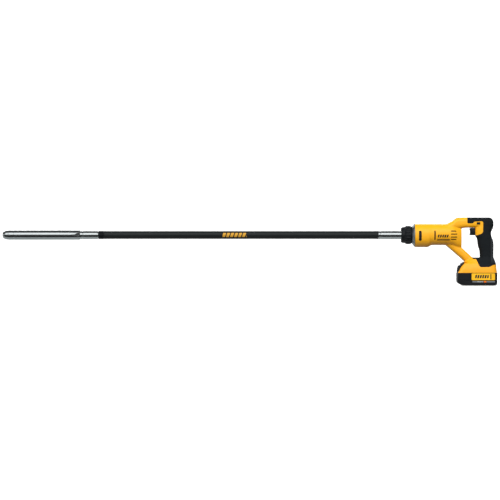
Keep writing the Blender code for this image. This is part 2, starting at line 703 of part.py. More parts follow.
def make_head():
    """Steel head tube with spanner flats, screwed-in cap, bearings, seal and eccentric rotor."""
    back = FITTING_X - GAP
    profile = [
        (HEAD_X, HEAD_RADIUS - 0.0004),
        (HEAD_X + 0.0006, HEAD_RADIUS),
        (back - 0.0006, HEAD_RADIUS),
        (back, HEAD_RADIUS - 0.0004),
        (back, HEAD_BORE),
        (HEAD_X, HEAD_BORE),
    ]
    head = turned("head", profile)
    flat_depth = HEAD_WALL * 0.5
    floor = HEAD_RADIUS - flat_depth
    beyond = HEAD_RADIUS + 0.005
    for side in (-1, 1):
        wedge = [
            (back - 0.0170, side * (HEAD_RADIUS + 0.0002)),
            (back - 0.0050, side * floor),
            (back + 0.0020, side * floor),
            (back + 0.0020, side * beyond),
            (back - 0.0170, side * beyond),
        ]
        form = bmesh.new()
        low = [form.verts.new((x, y, AXIS_Z - HEAD_RADIUS)) for x, y in wedge]
        base = form.faces.new(low)
        grown = bmesh.ops.extrude_face_region(form, geom=[base])["geom"]
        moved = [v for v in grown if isinstance(v, bmesh.types.BMVert)]
        bmesh.ops.translate(form, verts=moved, vec=ALONG_Z * (2 * HEAD_RADIUS))
        cut(head, place("flat", form))
    dressed(head, "head_tube", STEEL)

    nose = HEAD_X - GAP
    cap_radius = HEAD_RADIUS - 0.0004
    arc_steps = 6
    profile = [(HEAD_X + SPIGOT_LENGTH, 0.0), (HEAD_X + SPIGOT_LENGTH, SPIGOT_RADIUS), (nose, SPIGOT_RADIUS)]
    for step in range(arc_steps):
        angle = math.radians(84) * step / (arc_steps - 1)
        along = nose - (CAP_LENGTH - GAP) * math.sin(angle) ** 1.15
        profile.append((along, cap_radius * math.cos(angle) ** 0.62))
    profile.append((TIP_X, cap_radius * 0.12))
    profile.append((TIP_X, 0.0))
    turned("head_cap", profile, STEEL)

    first = HEAD_X + SPIGOT_LENGTH + 0.0020
    last = FITTING_X - SPIGOT_LENGTH - 0.0020
    seal_width = 0.0050
    bearing_width = 0.0080
    bore = JOURNAL_RADIUS + GAP
    rear_bearing = last - seal_width - 0.0005 - bearing_width
    bearing("head_bearing_front", first, SPIGOT_RADIUS, bore, bearing_width)
    bearing("head_bearing_rear", rear_bearing, SPIGOT_RADIUS, bore, bearing_width)
    tube("head_seal", last - seal_width, last, SPIGOT_RADIUS, bore, BLACK_PLASTIC, steps=24)

    body_start = first + bearing_width + 0.0030
    body_end = rear_bearing - 0.0030
    weight_radius = HEAD_BORE - 0.0012
    rotor = rod("rotor", body_start, body_end, weight_radius, steps=24)
    top = AXIS_Z + JOURNAL_RADIUS * 0.5
    cut(rotor, box("top", (body_start - 0.001, -0.02, top), (body_end + 0.001, 0.02, AXIS_Z + 0.02)))
    join(rotor, rod("journal", first - 0.0010, body_start + 0.002, JOURNAL_RADIUS, steps=16))
    socket_end = FITTING_X - SPIGOT_LENGTH + 0.0140
    journal = [
        (body_end - 0.002, 0.0),
        (body_end - 0.002, JOURNAL_RADIUS),
        (last + 0.0010, JOURNAL_RADIUS),
        (last + 0.0010, CASING_BORE - 0.0008),
        (socket_end, CASING_BORE - 0.0008),
        (socket_end, CORE_RADIUS + GAP),
        (last + 0.0040, CORE_RADIUS + GAP),
        (last + 0.0040, 0.0),
    ]
    join(rotor, turned("socket", journal, steps=16))
    dressed(rotor, "eccentric_rotor", DARK_STEEL)

    core_front = last + 0.0040 + GAP
    core_back = BEVEL_X - NOSE_LENGTH + 0.0020 + 0.016 - GAP
    rod("drive_core", core_front, core_back, CORE_RADIUS, DARK_STEEL, steps=16)


# ---------------------------------------------------------------- housing


def barrel_sections():
    """x, centre height, half height, half width, power."""
    step_end = HOUSING_FRONT + 0.053
    motor_centre = AXIS_Z + 0.0015
    return [
        (HOUSING_FRONT, AXIS_Z - 0.0015, GEAR_HALF, GEAR_HALF, 2.3),
        (HOUSING_FRONT + 0.037, AXIS_Z - 0.0015, GEAR_HALF, GEAR_HALF, 2.3),
        (step_end, motor_centre, MOTOR_HALF, MOTOR_HALF + 0.0004, 2.2),
        (-0.0930, motor_centre, MOTOR_HALF, MOTOR_HALF + 0.0004, 2.2),
        (-0.0740, AXIS_Z + 0.0005, MOTOR_HALF + 0.0010, MOTOR_HALF - 0.0020, 2.3),
        (-0.0580, AXIS_Z - 0.0065, MOTOR_HALF + 0.0010, GRIP_HALF_WIDTH + 0.0065, 2.4),
        (-0.0460, AXIS_Z - 0.0095, MOTOR_HALF - 0.0018, GRIP_HALF_WIDTH - 0.0005, 2.6),
    ]


def arm_sections():
    """x, centre height, half height, half width, power."""
    return [
        (-0.0900, 0.1700, 0.0160, 0.0245, 2.4),
        (-0.0740, 0.1775, 0.0165, 0.0225, 2.5),
        (-0.0600, 0.1862, 0.0175, GRIP_HALF_WIDTH + 0.0015, 2.8),
        (-0.0420, 0.1885, 0.0161, GRIP_HALF_WIDTH, 3.0),
        (-0.0300, 0.1892, 0.0154, GRIP_HALF_WIDTH, 3.2),
        (0.0360, 0.1892, 0.0154, GRIP_HALF_WIDTH, 3.2),
        (0.0450, 0.1878, 0.0136, GRIP_HALF_WIDTH - 0.0008, 3.0),
        (0.0495, 0.1850, 0.0085, GRIP_HALF_WIDTH - 0.0035, 2.6),
    ]


def grip_sections():
    """height, front x, back x, half width, power."""
    return [
        (0.1950, -0.0060, 0.0480, GRIP_HALF_WIDTH, 3.0),
        (0.1840, -0.0060, 0.0500, GRIP_HALF_WIDTH, 3.0),
        (0.1740, -0.0060, 0.0490, GRIP_HALF_WIDTH, 3.0),
        (0.1660, -0.0060, 0.0452, GRIP_HALF_WIDTH, 3.0),
        (0.1580, -0.0060, 0.0430, GRIP_HALF_WIDTH, 2.9),
        (0.1500, -0.0050, 0.0438, GRIP_HALF_WIDTH, 2.8),
        (0.1430, 0.0000, 0.0460, GRIP_HALF_WIDTH, 2.6),
        (0.1320, 0.0018, 0.0498, GRIP_HALF_WIDTH, 2.5),
        (0.1200, 0.0034, 0.0505, GRIP_HALF_WIDTH, 2.5),
        (0.1030, 0.0082, 0.0502, GRIP_HALF_WIDTH - 0.0004, 2.5),
        (0.0860, 0.0090, 0.0502, GRIP_HALF_WIDTH - 0.0004, 2.6),
        (0.0700, 0.0070, 0.0530, GRIP_HALF_WIDTH + 0.0010, 2.8),
    ]


def foot_sections():
    """height, front x, back x, half width, power."""
    return [
        (0.0845, -0.0160, 0.0500, GRIP_HALF_WIDTH + 0.0014, 3.0),
        (0.0820, -0.0240, 0.0515, GRIP_HALF_WIDTH + 0.0028, 3.0),
        (0.0740, -0.0370, 0.0548, GRIP_HALF_WIDTH + 0.0072, 3.0),
        (0.0660, -0.0415, 0.0572, FOOT_HALF_WIDTH - 0.0058, 3.4),
        (0.0560, -0.0470, 0.0583, FOOT_HALF_WIDTH - 0.0020, 3.8),
        (0.0470, -0.0520, 0.0590, FOOT_HALF_WIDTH - 0.0005, 4.2),
        (PACK_TOP + 0.0004, -0.0545, 0.0598, FOOT_HALF_WIDTH, 4.6),
    ]


def cheek_sections():
    """The foot where it reaches forward beside the pack's hump: height, front x, back x, half width, power."""
    back = 0.0300
    return [
        (0.0660, -0.0440, back, FOOT_HALF_WIDTH - 0.0062, 7.0),
        (0.0600, -0.0480, back, FOOT_HALF_WIDTH - 0.0038, 7.0),
        (0.0541, -0.0517, back, FOOT_HALF_WIDTH - 0.0022, 7.0),
        (0.0470, -0.0549, back, FOOT_HALF_WIDTH - 0.0009, 7.0),
        (0.0425, -0.0573, back, FOOT_HALF_WIDTH - 0.0006, 7.0),
        (PACK_TOP + 0.0004, -0.0598, back, FOOT_HALF_WIDTH - 0.0004, 7.0),
    ]


def strut_sections():
    """centre x, centre height, half thickness, half width."""
    return [
        (-0.0930, 0.1392, 0.0142, GRIP_HALF_WIDTH - 0.0010),
        (-0.0650, 0.1145, 0.0132, GRIP_HALF_WIDTH - 0.0028),
        (-0.0270, 0.0805, 0.0126, GRIP_HALF_WIDTH - 0.0025),
        (-0.0150, 0.0695, 0.0130, GRIP_HALF_WIDTH + 0.0010),
    ]


def upright_rings(sections, inset, count):
    for x, middle, half_height, half_width, power in sections:
        yield rounded_ring(
            Vector((x, 0, middle)), ALONG_Y, ALONG_Z, half_width - inset, half_height - inset, power, count
        )


def level_rings(sections, inset, count):
    for height, front, back, half_width, power in sections:
        yield rounded_ring(
            Vector(((front + back) / 2, 0, height)),
            ALONG_X,
            ALONG_Y,
            (back - front) / 2 - inset,
            half_width - inset,
            power,
            count,
        )


def body_solid(inset):
    """The whole D-handled body as one solid. With an inset it is the hollow inside the shell."""
    barrel = list(barrel_sections())
    arm = list(arm_sections())
    grip = list(grip_sections())
    foot = list(foot_sections())
    if inset:
        barrel[0] = (barrel[0][0] - 0.010, *barrel[0][1:])
        barrel[-1] = (barrel[-1][0] - inset, *barrel[-1][1:])
        arm[-1] = (arm[-1][0] - inset, *arm[-1][1:])
        grip[0] = (grip[0][0] - 0.0002, *grip[0][1:])
        foot[0] = (foot[0][0] - inset, *foot[0][1:])
        foot[1] = (foot[1][0] - inset * 0.6, *foot[1][1:])
        foot.append((foot[-1][0] - 0.010, *foot[-1][1:]))
    solid = lofted("body", list(upright_rings(barrel, inset, 20)))
    strut_along = Vector((0.051, 0.0, -0.0455)).normalized()
    strut_up = strut_along.cross(ALONG_Y)
    strut = [
        rounded_ring(Vector((x, 0, z)), ALONG_Y, strut_up, wide - inset, thick - inset, 2.8, 12)
        for x, z, thick, wide in strut_sections()
    ]
    return join(
        solid,
        lofted("arm", list(upright_rings(arm, inset, 14))),
        lofted("grip", list(level_rings(grip, inset, 16))),
        lofted("foot", list(level_rings(foot, inset, 16))),
        lofted("strut", strut),
    )


def grip_region():
    """Outline, seen from the side, of the black grip mouldings."""
    arm_top = 0.215
    behind = 0.080
    return [
        (-0.0290, arm_top),
        (-0.0290, 0.1885),
        (-0.0270, 0.1868),
        (-0.0130, 0.1868),
        (-0.0085, 0.1920),
        (0.0150, 0.1935),
        (0.0185, 0.1900),
        (0.0180, 0.1610),
        (0.0135, 0.1555),
        (0.0010, 0.1510),
        (-0.0140, 0.1495),
        (-0.0140, 0.0805),
        (-0.0030, 0.0800),
        (0.0050, 0.0600),
        (0.0090, 0.0560),
        (0.0350, 0.0560),
        (0.0480, 0.0628),
        (behind, 0.0660),
        (behind, arm_top),
    ]


YELLOW_SCREWS = [(-0.0700, 0.1790), (-0.0600, 0.1225), (-0.0290, 0.0680)]
GRIP_SCREWS = [(0.0370, 0.1900), (0.0280, 0.1120), (0.0345, 0.0680)]
SCREW_SEAT = 0.0105  # distance of a housing screw's head from the mid plane


def sideways(name, x, z, start, end, radius, steps=12):
    return rod(name, start, end, radius, None, Vector((x, 0.0, z)), steps, ALONG_Y)


def make_hollow():
    """Everything that is taken out of the body: the inside, less the bosses and the rail ribs."""
    hollow = body_solid(WALL)
    for x, z in YELLOW_SCREWS + GRIP_SCREWS:
        cut(hollow, sideways("boss", x, z, -0.05, 0.05, BOSS_RADIUS))
    for number, _ in flange_screw_spots():
        for outwards in (0.0, 0.0026):  # the boss, and the web that ties it to the wall
            spot = flange_spot(number, FLANGE_SCREW_CIRCLE + outwards)
            cut(hollow, rod("boss", HOUSING_FRONT, HOUSING_FRONT + 0.015, FLANGE_BOSS_RADIUS, None, spot, 10))
    rib_inner = RAIL_NECK_HALF + 0.0007
    for side in (-1, 1):
        low, high = sorted((side * rib_inner, side * (FOOT_HALF_WIDTH + 0.002)))
        rib = box(
            "rib",
            (RAIL_FRONT, low, PACK_TOP - 0.020),
            (RAIL_BACK - 0.002, high, RAIL_FLANGE_LOW - GAP),
        )
        cut(hollow, rib)
    return hollow


def side_vents():
    """Cutters for the slots and louvres, through both sides of the barrel."""
    yield slot_cutter(-0.1752, -0.1668, 0.1340, 0.1645, 0.0040, 4)
    yield slot_cutter(-0.1290, -0.1248, 0.1375, 0.1650, 0.0018, 2)
    for height, back in ((0.1635, -0.0625), (0.1545, -0.0600), (0.1455, -0.0600), (0.1390, -0.0625)):
        yield slot_cutter(-0.0790, back, height - 0.0014, height + 0.0014, 0.0, 1)


def slot_cutter(left, right, low, high, radius, corner_points):
    """An upright slot with rounded corners, run right across the body."""
    reach = 0.060
    outline = []
    corners = ((right - radius, low + radius), (right - radius, high - radius))
    corners += ((left + radius, high - radius), (left + radius, low + radius))
    for quarter, (x, z) in enumerate(corners):
        for step in range(corner_points):
            share = step / (corner_points - 1) if corner_points > 1 else 0.5
            angle = math.radians(90 * (quarter - 1 + share))
            outline.append((x + radius * math.cos(angle), z + radius * math.sin(angle)))
    return prism("slot", outline, -reach, reach)


def make_cheeks():
    cheeks = lofted("cheeks", list(level_rings(cheek_sections(), 0.0, 24)))
    inner = HUMP_HALF_WIDTH + 0.0008
    cut(cheeks, box("hump_room", (-0.080, -inner, 0.030), (0.050, inner, 0.080)))
    return cheeks


def make_housing():
    shell = join(body_solid(0.0), make_cheeks())
    cut(shell, make_hollow())
    cut(shell, *side_vents())

    trigger_hole = box(
        "trigger_hole",
        (TRIGGER_FRONT, -TRIGGER_HALF_WIDTH - GAP, TRIGGER_LOW - GAP),
        (0.0040, TRIGGER_HALF_WIDTH + GAP, TRIGGER_HIGH + GAP),
    )
    pack_way = box(
        "pack_way",
        (-0.0800, -RAIL_FLANGE_HALF - 0.0008, 0.0200),
        (RAIL_FRONT + 0.0060, RAIL_FLANGE_HALF + 0.0008, RAIL_TOP + 0.0010),
    )
    button_low, button_high = lock_button_span()
    lock_hole = box(
        "lock_hole",
        (button_low[0] - GAP, -0.0400, button_low[2] - GAP),
        (button_high[0] + GAP, -0.0100, button_high[2] + GAP),
    )
    cut(shell, trigger_hole, pack_way, lock_hole)
    pilot_radius = SCREW_RADIUS + GAP
    for _, spot in flange_screw_spots():
        cut(shell, rod("pilot", HOUSING_FRONT - 0.002, HOUSING_FRONT + 0.0125, pilot_radius, None, spot, 8))
    for x, z in YELLOW_SCREWS + GRIP_SCREWS:
        cut(shell, sideways("shank", x, z, -0.0102, SCREW_SEAT + 0.001, SCREW_RADIUS + GAP, 8))
        cut(shell, sideways("recess", x, z, SCREW_SEAT, 0.060, SCREW_HEAD_RADIUS + GAP))

    region = prism("region", grip_region(), -0.060, 0.060)
    grown = prism("grown", widened(grip_region(), GAP), -0.060, 0.060)
    grip = copy_of(shell, "grip")
    combine(grip, region, "INTERSECT")
    cut(shell, grown)
    for side, name in ((-1, "left"), (1, "right")):
        near, far = sorted((side * GAP / 2, side * 0.1))
        half_space = box("half", (-0.300, near, -0.05), (0.100, far, 0.30))
        yellow = combine(copy_of(shell, "yellow"), half_space, "INTERSECT", keep_tool=True)
        black = combine(copy_of(grip, "black"), half_space, "INTERSECT")
        dressed(yellow, f"housing_{name}", YELLOW)
        dressed(black, f"grip_{name}", BLACK_GRIP)
    for part in (shell, grip):
        bpy.data.objects.remove(part, do_unlink=True)


def widened(outline, amount):
    """The outline moved outwards by an amount, each corner along the mean of its edges' normals."""
    grown = []
    count = len(outline)
    for i, point in enumerate(outline):
        here = Vector(point)
        before = (here - Vector(outline[i - 1])).normalized()
        after = (Vector(outline[(i + 1) % count]) - here).normalized()
        # going round the outline, its inside lies to the left of each edge
        normal = Vector((before.y + after.y, -before.x - after.x)).normalized()
        stretch = 1 / max(0.4, normal.dot(Vector((before.y, -before.x))))
        grown.append(tuple(here + normal * amount * stretch))
    return grown


def make_housing_screws():
    for number, (x, z) in enumerate(YELLOW_SCREWS + GRIP_SCREWS, start=1):
        seat = SCREW_SEAT + GAP
        profile = [
            (seat + 0.0026, 0.0),
            (seat + 0.0026, SCREW_HEAD_RADIUS),
            (seat, SCREW_HEAD_RADIUS),
            (seat, SCREW_RADIUS),
            (-0.0098, SCREW_RADIUS),
            (-0.0098, 0.0),
        ]
        turned(f"housing_screw_{number}", profile, DARK_STEEL, Vector((x, 0.0, z)), 8, ALONG_Y)


# ---------------------------------------------------------------- controls and electronics


def lock_button_span():
    left = -0.0010
    low = 0.1835
    return (left, -GRIP_HALF_WIDTH - 0.0012, low), (left + LOCK_LENGTH, -0.0105, low + LOCK_HEIGHT)


def make_controls():
    back = TRIGGER_FRONT + TRIGGER_LENGTH
    outline = [
        (TRIGGER_FRONT + 0.0030, TRIGGER_HIGH),
        (TRIGGER_FRONT + 0.0008, TRIGGER_HIGH - 0.0030),
        (TRIGGER_FRONT + 0.0010, TRIGGER_HIGH - 0.0090),
        (TRIGGER_FRONT + 0.0022, TRIGGER_LOW + 0.0070),
        (TRIGGER_FRONT + 0.0012, TRIGGER_LOW + 0.0022),
        (TRIGGER_FRONT + 0.0030, TRIGGER_LOW),
        (back, TRIGGER_LOW),
        (back, TRIGGER_HIGH),
    ]
    trigger = prism("trigger", outline, -TRIGGER_HALF_WIDTH, TRIGGER_HALF_WIDTH)
    pocket_depth = 0.0060
    middle = (TRIGGER_LOW + TRIGGER_HIGH) / 2
    spring_radius = 0.0026
    pocket = Vector((0.0, 0.0, middle))
    cut(trigger, rod("pocket", back - pocket_depth, back + 0.001, spring_radius + 0.0012, None, pocket, 16))
    dressed(trigger, "trigger", BLACK_PLASTIC)

    switch_front = back + TRIGGER_TRAVEL + 0.0030
    spring_start = Vector((back - pocket_depth + GAP, 0.0, middle))
    spring_length = switch_front - GAP - spring_start.x
    coil("trigger_spring", spring_start, ALONG_X, spring_length, spring_radius, 0.0004, 3, STEEL)
    box("switch_module", (switch_front, -0.0100, 0.1500), (0.0350, 0.0100, 0.1780), BLACK_PLASTIC, 0.0012)

    low, high = lock_button_span()
    box("lock_button", low, high, BLACK_PLASTIC, 0.0008)
    spring_x = (low[0] + high[0]) / 2
    spring_z = (low[2] + high[2]) / 2
    coil(
        "lock_spring",
        Vector((spring_x, high[1] + GAP, spring_z)),
        ALONG_Y,
        0.0090,
        0.0022,
        0.00035,
        3,
        STEEL,
    )


def make_electronics():
    box("controller_module", (-0.0190, -0.0140, 0.0620), (0.0280, 0.0140, 0.0735), BLACK_PLASTIC, 0.0010)

    block_low = RAIL_TOP + 0.0008
    block = box("block", (-0.0250, -0.0230, block_low), (0.0450, 0.0230, block_low + 0.0065))
    for number in range(BLADES):
        y = (number - (BLADES - 1) / 2) * BLADE_SPACING
        half = BLADE_THICKNESS / 2
        blade_low = (0.0230, y - half, RAIL_TOP - 0.0060)
        join(block, box("blade", blade_low, (0.0420, y + half, block_low + 0.002)))
    dressed(block, "terminal_block", BLACK_PLASTIC)

    motor_route = [
        (BELL_BACK + GAP, 0.0, AXIS_Z - 0.0060),
        (BELL_BACK + 0.0025, 0.0, AXIS_Z - 0.0062),
        (-0.0765, 0.0, 0.1400),
        (-0.0745, 0.0, 0.1260),
        (-0.0670, 0.0, 0.1120),
        (-0.0550, 0.0, 0.1005),
        (-0.0430, 0.0, 0.0900),
        (-0.0310, 0.0, 0.0790),
        (-0.0250, 0.0, 0.0720),
        (-0.0197, 0.0, 0.0695),
    ]
    wire("motor_leads", smooth_route(motor_route, 0.006), 0.0018, WIRE_RED, 1)


# ---------------------------------------------------------------- battery pack


def pack_rings(levels, inset=0.0):
    """Rounded rectangles at set heights: height, front x, back x, half width."""
    return [
        rounded_ring(
            Vector(((front + back) / 2, 0, height)),
            ALONG_X,
            ALONG_Y,
            (back - front) / 2 - inset,
            half_width - inset,
            7.0,
            20,
        )
        for height, front, back, half_width in levels
    ]


def make_battery_tray():
    half = PACK_LENGTH / 2
    levels = [
        (0.0000, -half + 0.0165, half - 0.0070, PACK_HALF_WIDTH - 0.0040),
        (0.0015, -half + 0.0150, half - 0.0035, PACK_HALF_WIDTH - 0.0020),
        (0.0060, -half + 0.0070, half - 0.0005, PACK_HALF_WIDTH),
        (0.0110, -half + 0.0010, half, PACK_HALF_WIDTH),
        (0.0140, -half, half, PACK_HALF_WIDTH),
        (PACK_SEAM - GAP / 2, -half, half, PACK_HALF_WIDTH),
    ]
    tray = lofted("tray", pack_rings(levels))
    inside = [(PACK_WALL, -half + 0.0165, half - 0.0045, PACK_HALF_WIDTH - 0.0010)]
    inside += [level for level in levels if level[0] > PACK_WALL]
    inside.append((PACK_SEAM + 0.001, *levels[-1][1:]))
    cut(tray, lofted("inside", pack_rings(inside, PACK_WALL)))
    low, high = gauge_span()
    cut(tray, box("window", (low[0] - GAP, -0.06, low[2] - GAP), (high[0] + GAP, -0.03, high[2] + GAP)))
    dressed(tray, "battery_tray", BLACK_PLASTIC)


def gauge_span():
    middle = 0.0220
    outside = -PACK_HALF_WIDTH - 0.0008
    inside = outside + PACK_WALL + 0.0014
    return (middle - 0.0038, outside, 0.0098), (middle + 0.0038, inside, 0.0138)


def make_battery_cover():
    half = PACK_LENGTH / 2
    levels = [
        (PACK_SEAM + GAP / 2, -half, half, PACK_HALF_WIDTH),
        (0.0300, -half, half, PACK_HALF_WIDTH),
        (PACK_TOP - 0.0008, -half, half, PACK_HALF_WIDTH),
        (PACK_TOP, -half + 0.0006, half - 0.0006, PACK_HALF_WIDTH - 0.0006),
    ]
    cover = lofted("cover", pack_rings(levels))
    neck_high = (RAIL_BACK, RAIL_NECK_HALF, RAIL_TOP - 0.001)
    join(cover, box("neck", (RAIL_FRONT, -RAIL_NECK_HALF, 0.0300), neck_high))
    flange_low = (RAIL_FRONT, -RAIL_FLANGE_HALF, RAIL_FLANGE_LOW)
    join(cover, box("flange", flange_low, (RAIL_BACK, RAIL_FLANGE_HALF, RAIL_TOP)))
    join(cover, make_hump())

    inside_levels = [
        (PACK_SEAM - 0.001, -half, half, PACK_HALF_WIDTH),
        (PACK_TOP - 0.0015, -half, half, PACK_HALF_WIDTH),
    ]
    cut(cover, lofted("inside", pack_rings(inside_levels, PACK_WALL)))
    inner_half = RAIL_NECK_HALF - 0.0025
    rail_room = box(
        "rail_room",
        (RAIL_FRONT + 0.0025, -inner_half, PACK_TOP - 0.004),
        (RAIL_BACK - 0.0100, inner_half, RAIL_TOP - 0.0025),
    )
    cut(cover, rail_room)
    for number in range(BLADES):
        y = (number - (BLADES - 1) / 2) * BLADE_SPACING
        half_slot = BLADE_THICKNESS / 2 + 0.0007
        slot_low = (0.0215, y - half_slot, RAIL_TOP - 0.0070)
        cut(cover, box("slot", slot_low, (RAIL_BACK + 0.001, y + half_slot, RAIL_TOP + 0.001)))
    low, high = release_span()
    pocket = box(
        "pocket",
        (low[0] - GAP - 0.010, low[1] - GAP, low[2] - LATCH_TRAVEL - 0.001),
        (high[0] + GAP, high[1] + GAP, high[2] + 0.020),
    )
    spring_room = box(
        "spring_room",
        (low[0], -0.0045, low[2] - LATCH_TRAVEL - LATCH_SPRING_LENGTH + 0.0020),
        (high[0], 0.0045, low[2]),
    )
    cut(cover, pocket, spring_room)
    dressed(cover, "battery_cover", BLACK_PLASTIC)


def hump_levels():
    """The front hump of the pack: height, front x, back x, half width, power."""
    widest = HUMP_HALF_WIDTH
    return [
        (0.0360, -0.0600, 0.0, widest, 3.4),
        (0.0470, -0.0600, 0.0, widest, 3.4),
        (RAIL_TOP + 0.0020, -0.0584, 0.0, widest, 3.2),
        (0.0590, -0.0562, 0.0, widest - 0.0020, 3.0),
        (0.0650, -0.0512, 0.0, widest - 0.0060, 2.8),
        (0.0695, -0.0452, 0.0, widest - 0.0110, 2.6),
        (0.0715, -0.0420, 0.0, widest - 0.0140, 2.6),
    ]


def make_hump():
    """A crescent that hugs the foot's front and holds the release button."""
    hump = lofted("hump", list(level_rings(hump_levels(), 0.0, 24)))
    foot = list(foot_sections())
    foot.append((foot[-1][0] - 0.010, *foot[-1][1:]))
    cut(hump, lofted("foot", list(level_rings(foot, -2 * GAP, 24))))
    # fills the opening in the foot's front, ahead of the rails
    plug_low = (-0.0590, -RAIL_FLANGE_HALF, 0.0360)
    return join(hump, box("plug", plug_low, (RAIL_FRONT - 2 * GAP, RAIL_FLANGE_HALF, RAIL_TOP)))


def release_span():
    return (-0.0592, -RELEASE_HALF_WIDTH, 0.0480), (-0.0500, RELEASE_HALF_WIDTH, 0.0610)


def make_release():
    """The button's front follows the lean of the hump round it."""
    low, high = release_span()
    outline = [
        (low[0], low[2]),
        (low[0] + 0.0022, low[2] + 0.0085),
        (low[0] + 0.0048, high[2]),
        (high[0], high[2]),
        (high[0], low[2]),
    ]
    dressed(prism("button", outline, low[1], high[1]), "release_button", BLACK_PLASTIC)


def make_cells():
    pitch = 2 * CELL_RADIUS + 0.0004
    nested = pitch * math.sqrt(3) / 2
    low = PACK_WALL + CELL_RADIUS + 0.0003
    pack = None
    for row, shift in ((0, 0.25), (1, -0.25)):
        for number in range(CELLS_IN_ROW):
            x = (number - (CELLS_IN_ROW - 1) / 2 + shift) * pitch
            cell = sideways("cell", x, low + row * nested, -CELL_LENGTH / 2, CELL_LENGTH / 2, CELL_RADIUS, 10)
            pack = join(pack, cell) if pack else cell
    reach = (CELLS_IN_ROW / 2) * pitch - 0.004
    for side in (-1, 1):
        near, far = sorted((side * (CELL_LENGTH / 2 - 0.003), side * (CELL_LENGTH / 2 + 0.0004)))
        join(pack, box("frame", (-reach, near, low - 0.004), (reach, far, low + nested + 0.004)))
    dressed(pack, "cell_pack", CELL_BLUE)


def make_battery():
    make_battery_tray()
    make_battery_cover()
    make_release()
    make_cells()
    half = RAIL_NECK_HALF - 0.0035
    box("battery_board", (-0.0380, -half, PACK_TOP + 0.0010), (0.0180, half, PACK_TOP + 0.0028), BOARD_GREEN)
    low, high = gauge_span()
    box("gauge_button", low, high, ORANGE, 0.0005)
    low, high = release_span()
    spring_start = Vector(((low[0] + high[0]) / 2, 0.0, low[2] - GAP - LATCH_SPRING_LENGTH))
    coil("latch_spring", spring_start, ALONG_Z, LATCH_SPRING_LENGTH, 0.0014, 0.0003, 3, STEEL)


clear_scene()
make_head()
make_casing()
make_collar()
make_gear_case()
make_planetary_stage()
make_carrier()
make_motor()
make_controls()
make_electronics()
make_battery()
make_housing()
make_housing_screws()
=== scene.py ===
# %% [markdown]
# # A cordless concrete vibrator
# A concrete vibrator shakes the air out of wet concrete. A battery-driven motor unit with a D handle
# spins a core inside a long rubber-covered casing, and the core turns an off-centre weight in the steel
# head at the far end. The moving model comes from CAD and is loaded first, as a frame that stays put.
# Everything after it is about looks: rounder shapes, moulded seams and real finishes.

# %% Load the frame
import json
import math

import bmesh
import bpy
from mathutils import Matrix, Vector


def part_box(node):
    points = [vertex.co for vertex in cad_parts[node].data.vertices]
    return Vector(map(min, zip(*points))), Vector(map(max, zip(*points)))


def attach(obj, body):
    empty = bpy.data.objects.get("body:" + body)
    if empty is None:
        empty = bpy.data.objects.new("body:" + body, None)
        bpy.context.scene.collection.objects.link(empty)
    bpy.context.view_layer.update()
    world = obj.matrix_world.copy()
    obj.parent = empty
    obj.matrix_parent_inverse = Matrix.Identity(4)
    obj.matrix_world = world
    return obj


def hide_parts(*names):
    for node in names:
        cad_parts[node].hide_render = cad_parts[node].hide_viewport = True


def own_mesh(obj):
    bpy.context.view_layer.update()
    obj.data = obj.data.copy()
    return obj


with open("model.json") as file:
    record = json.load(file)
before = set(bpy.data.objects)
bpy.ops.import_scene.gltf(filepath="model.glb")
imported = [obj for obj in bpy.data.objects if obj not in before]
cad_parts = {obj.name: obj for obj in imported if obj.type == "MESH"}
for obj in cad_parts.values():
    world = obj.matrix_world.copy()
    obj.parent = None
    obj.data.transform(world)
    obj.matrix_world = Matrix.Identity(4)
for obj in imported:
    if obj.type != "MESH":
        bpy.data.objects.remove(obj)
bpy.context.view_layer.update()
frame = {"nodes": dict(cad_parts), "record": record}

# %% [markdown]
# ## The camera
# The tool is 1.5 metres long and less than 0.1 metre deep, and it is shown exactly from its left side.
# A long lens from far away keeps the long casing level and stops its ends from looking smaller than its
# middle. An orthographic camera would do that as well, but a real lens keeps a little depth.

# %% Camera level with the tool's middle
VIEW_WIDTH = 1.5  # metres across the picture
VIEW_CENTRE = Vector((-0.680, 0.0, 0.107))
LENS = 200.0  # millimetres

camera_data = bpy.data.cameras.new("side_camera")
camera_data.lens = LENS
camera = bpy.data.objects.new("side_camera", camera_data)
bpy.context.scene.collection.objects.link(camera)
distance = VIEW_WIDTH / 2 / (camera_data.sensor_width / 2 / LENS)
camera.location = VIEW_CENTRE + Vector((0.0, -distance, 0.0))
camera.rotation_euler = (math.radians(90), 0.0, 0.0)
camera_data.clip_end = 60.0
bpy.context.scene.camera = camera
print("camera", round(distance, 2), "m away")

# %% [markdown]
# ## Tools for shader maths
# Every finish here is a small node tree. Written out node by node such a tree is long and hard to read,
# so one class wraps an output socket and turns ordinary arithmetic into Math nodes: `1 - mask` adds a
# Subtract node. A second class holds the material, and one method of it adds any other kind of node from
# its type, its settings and what goes into its sockets.


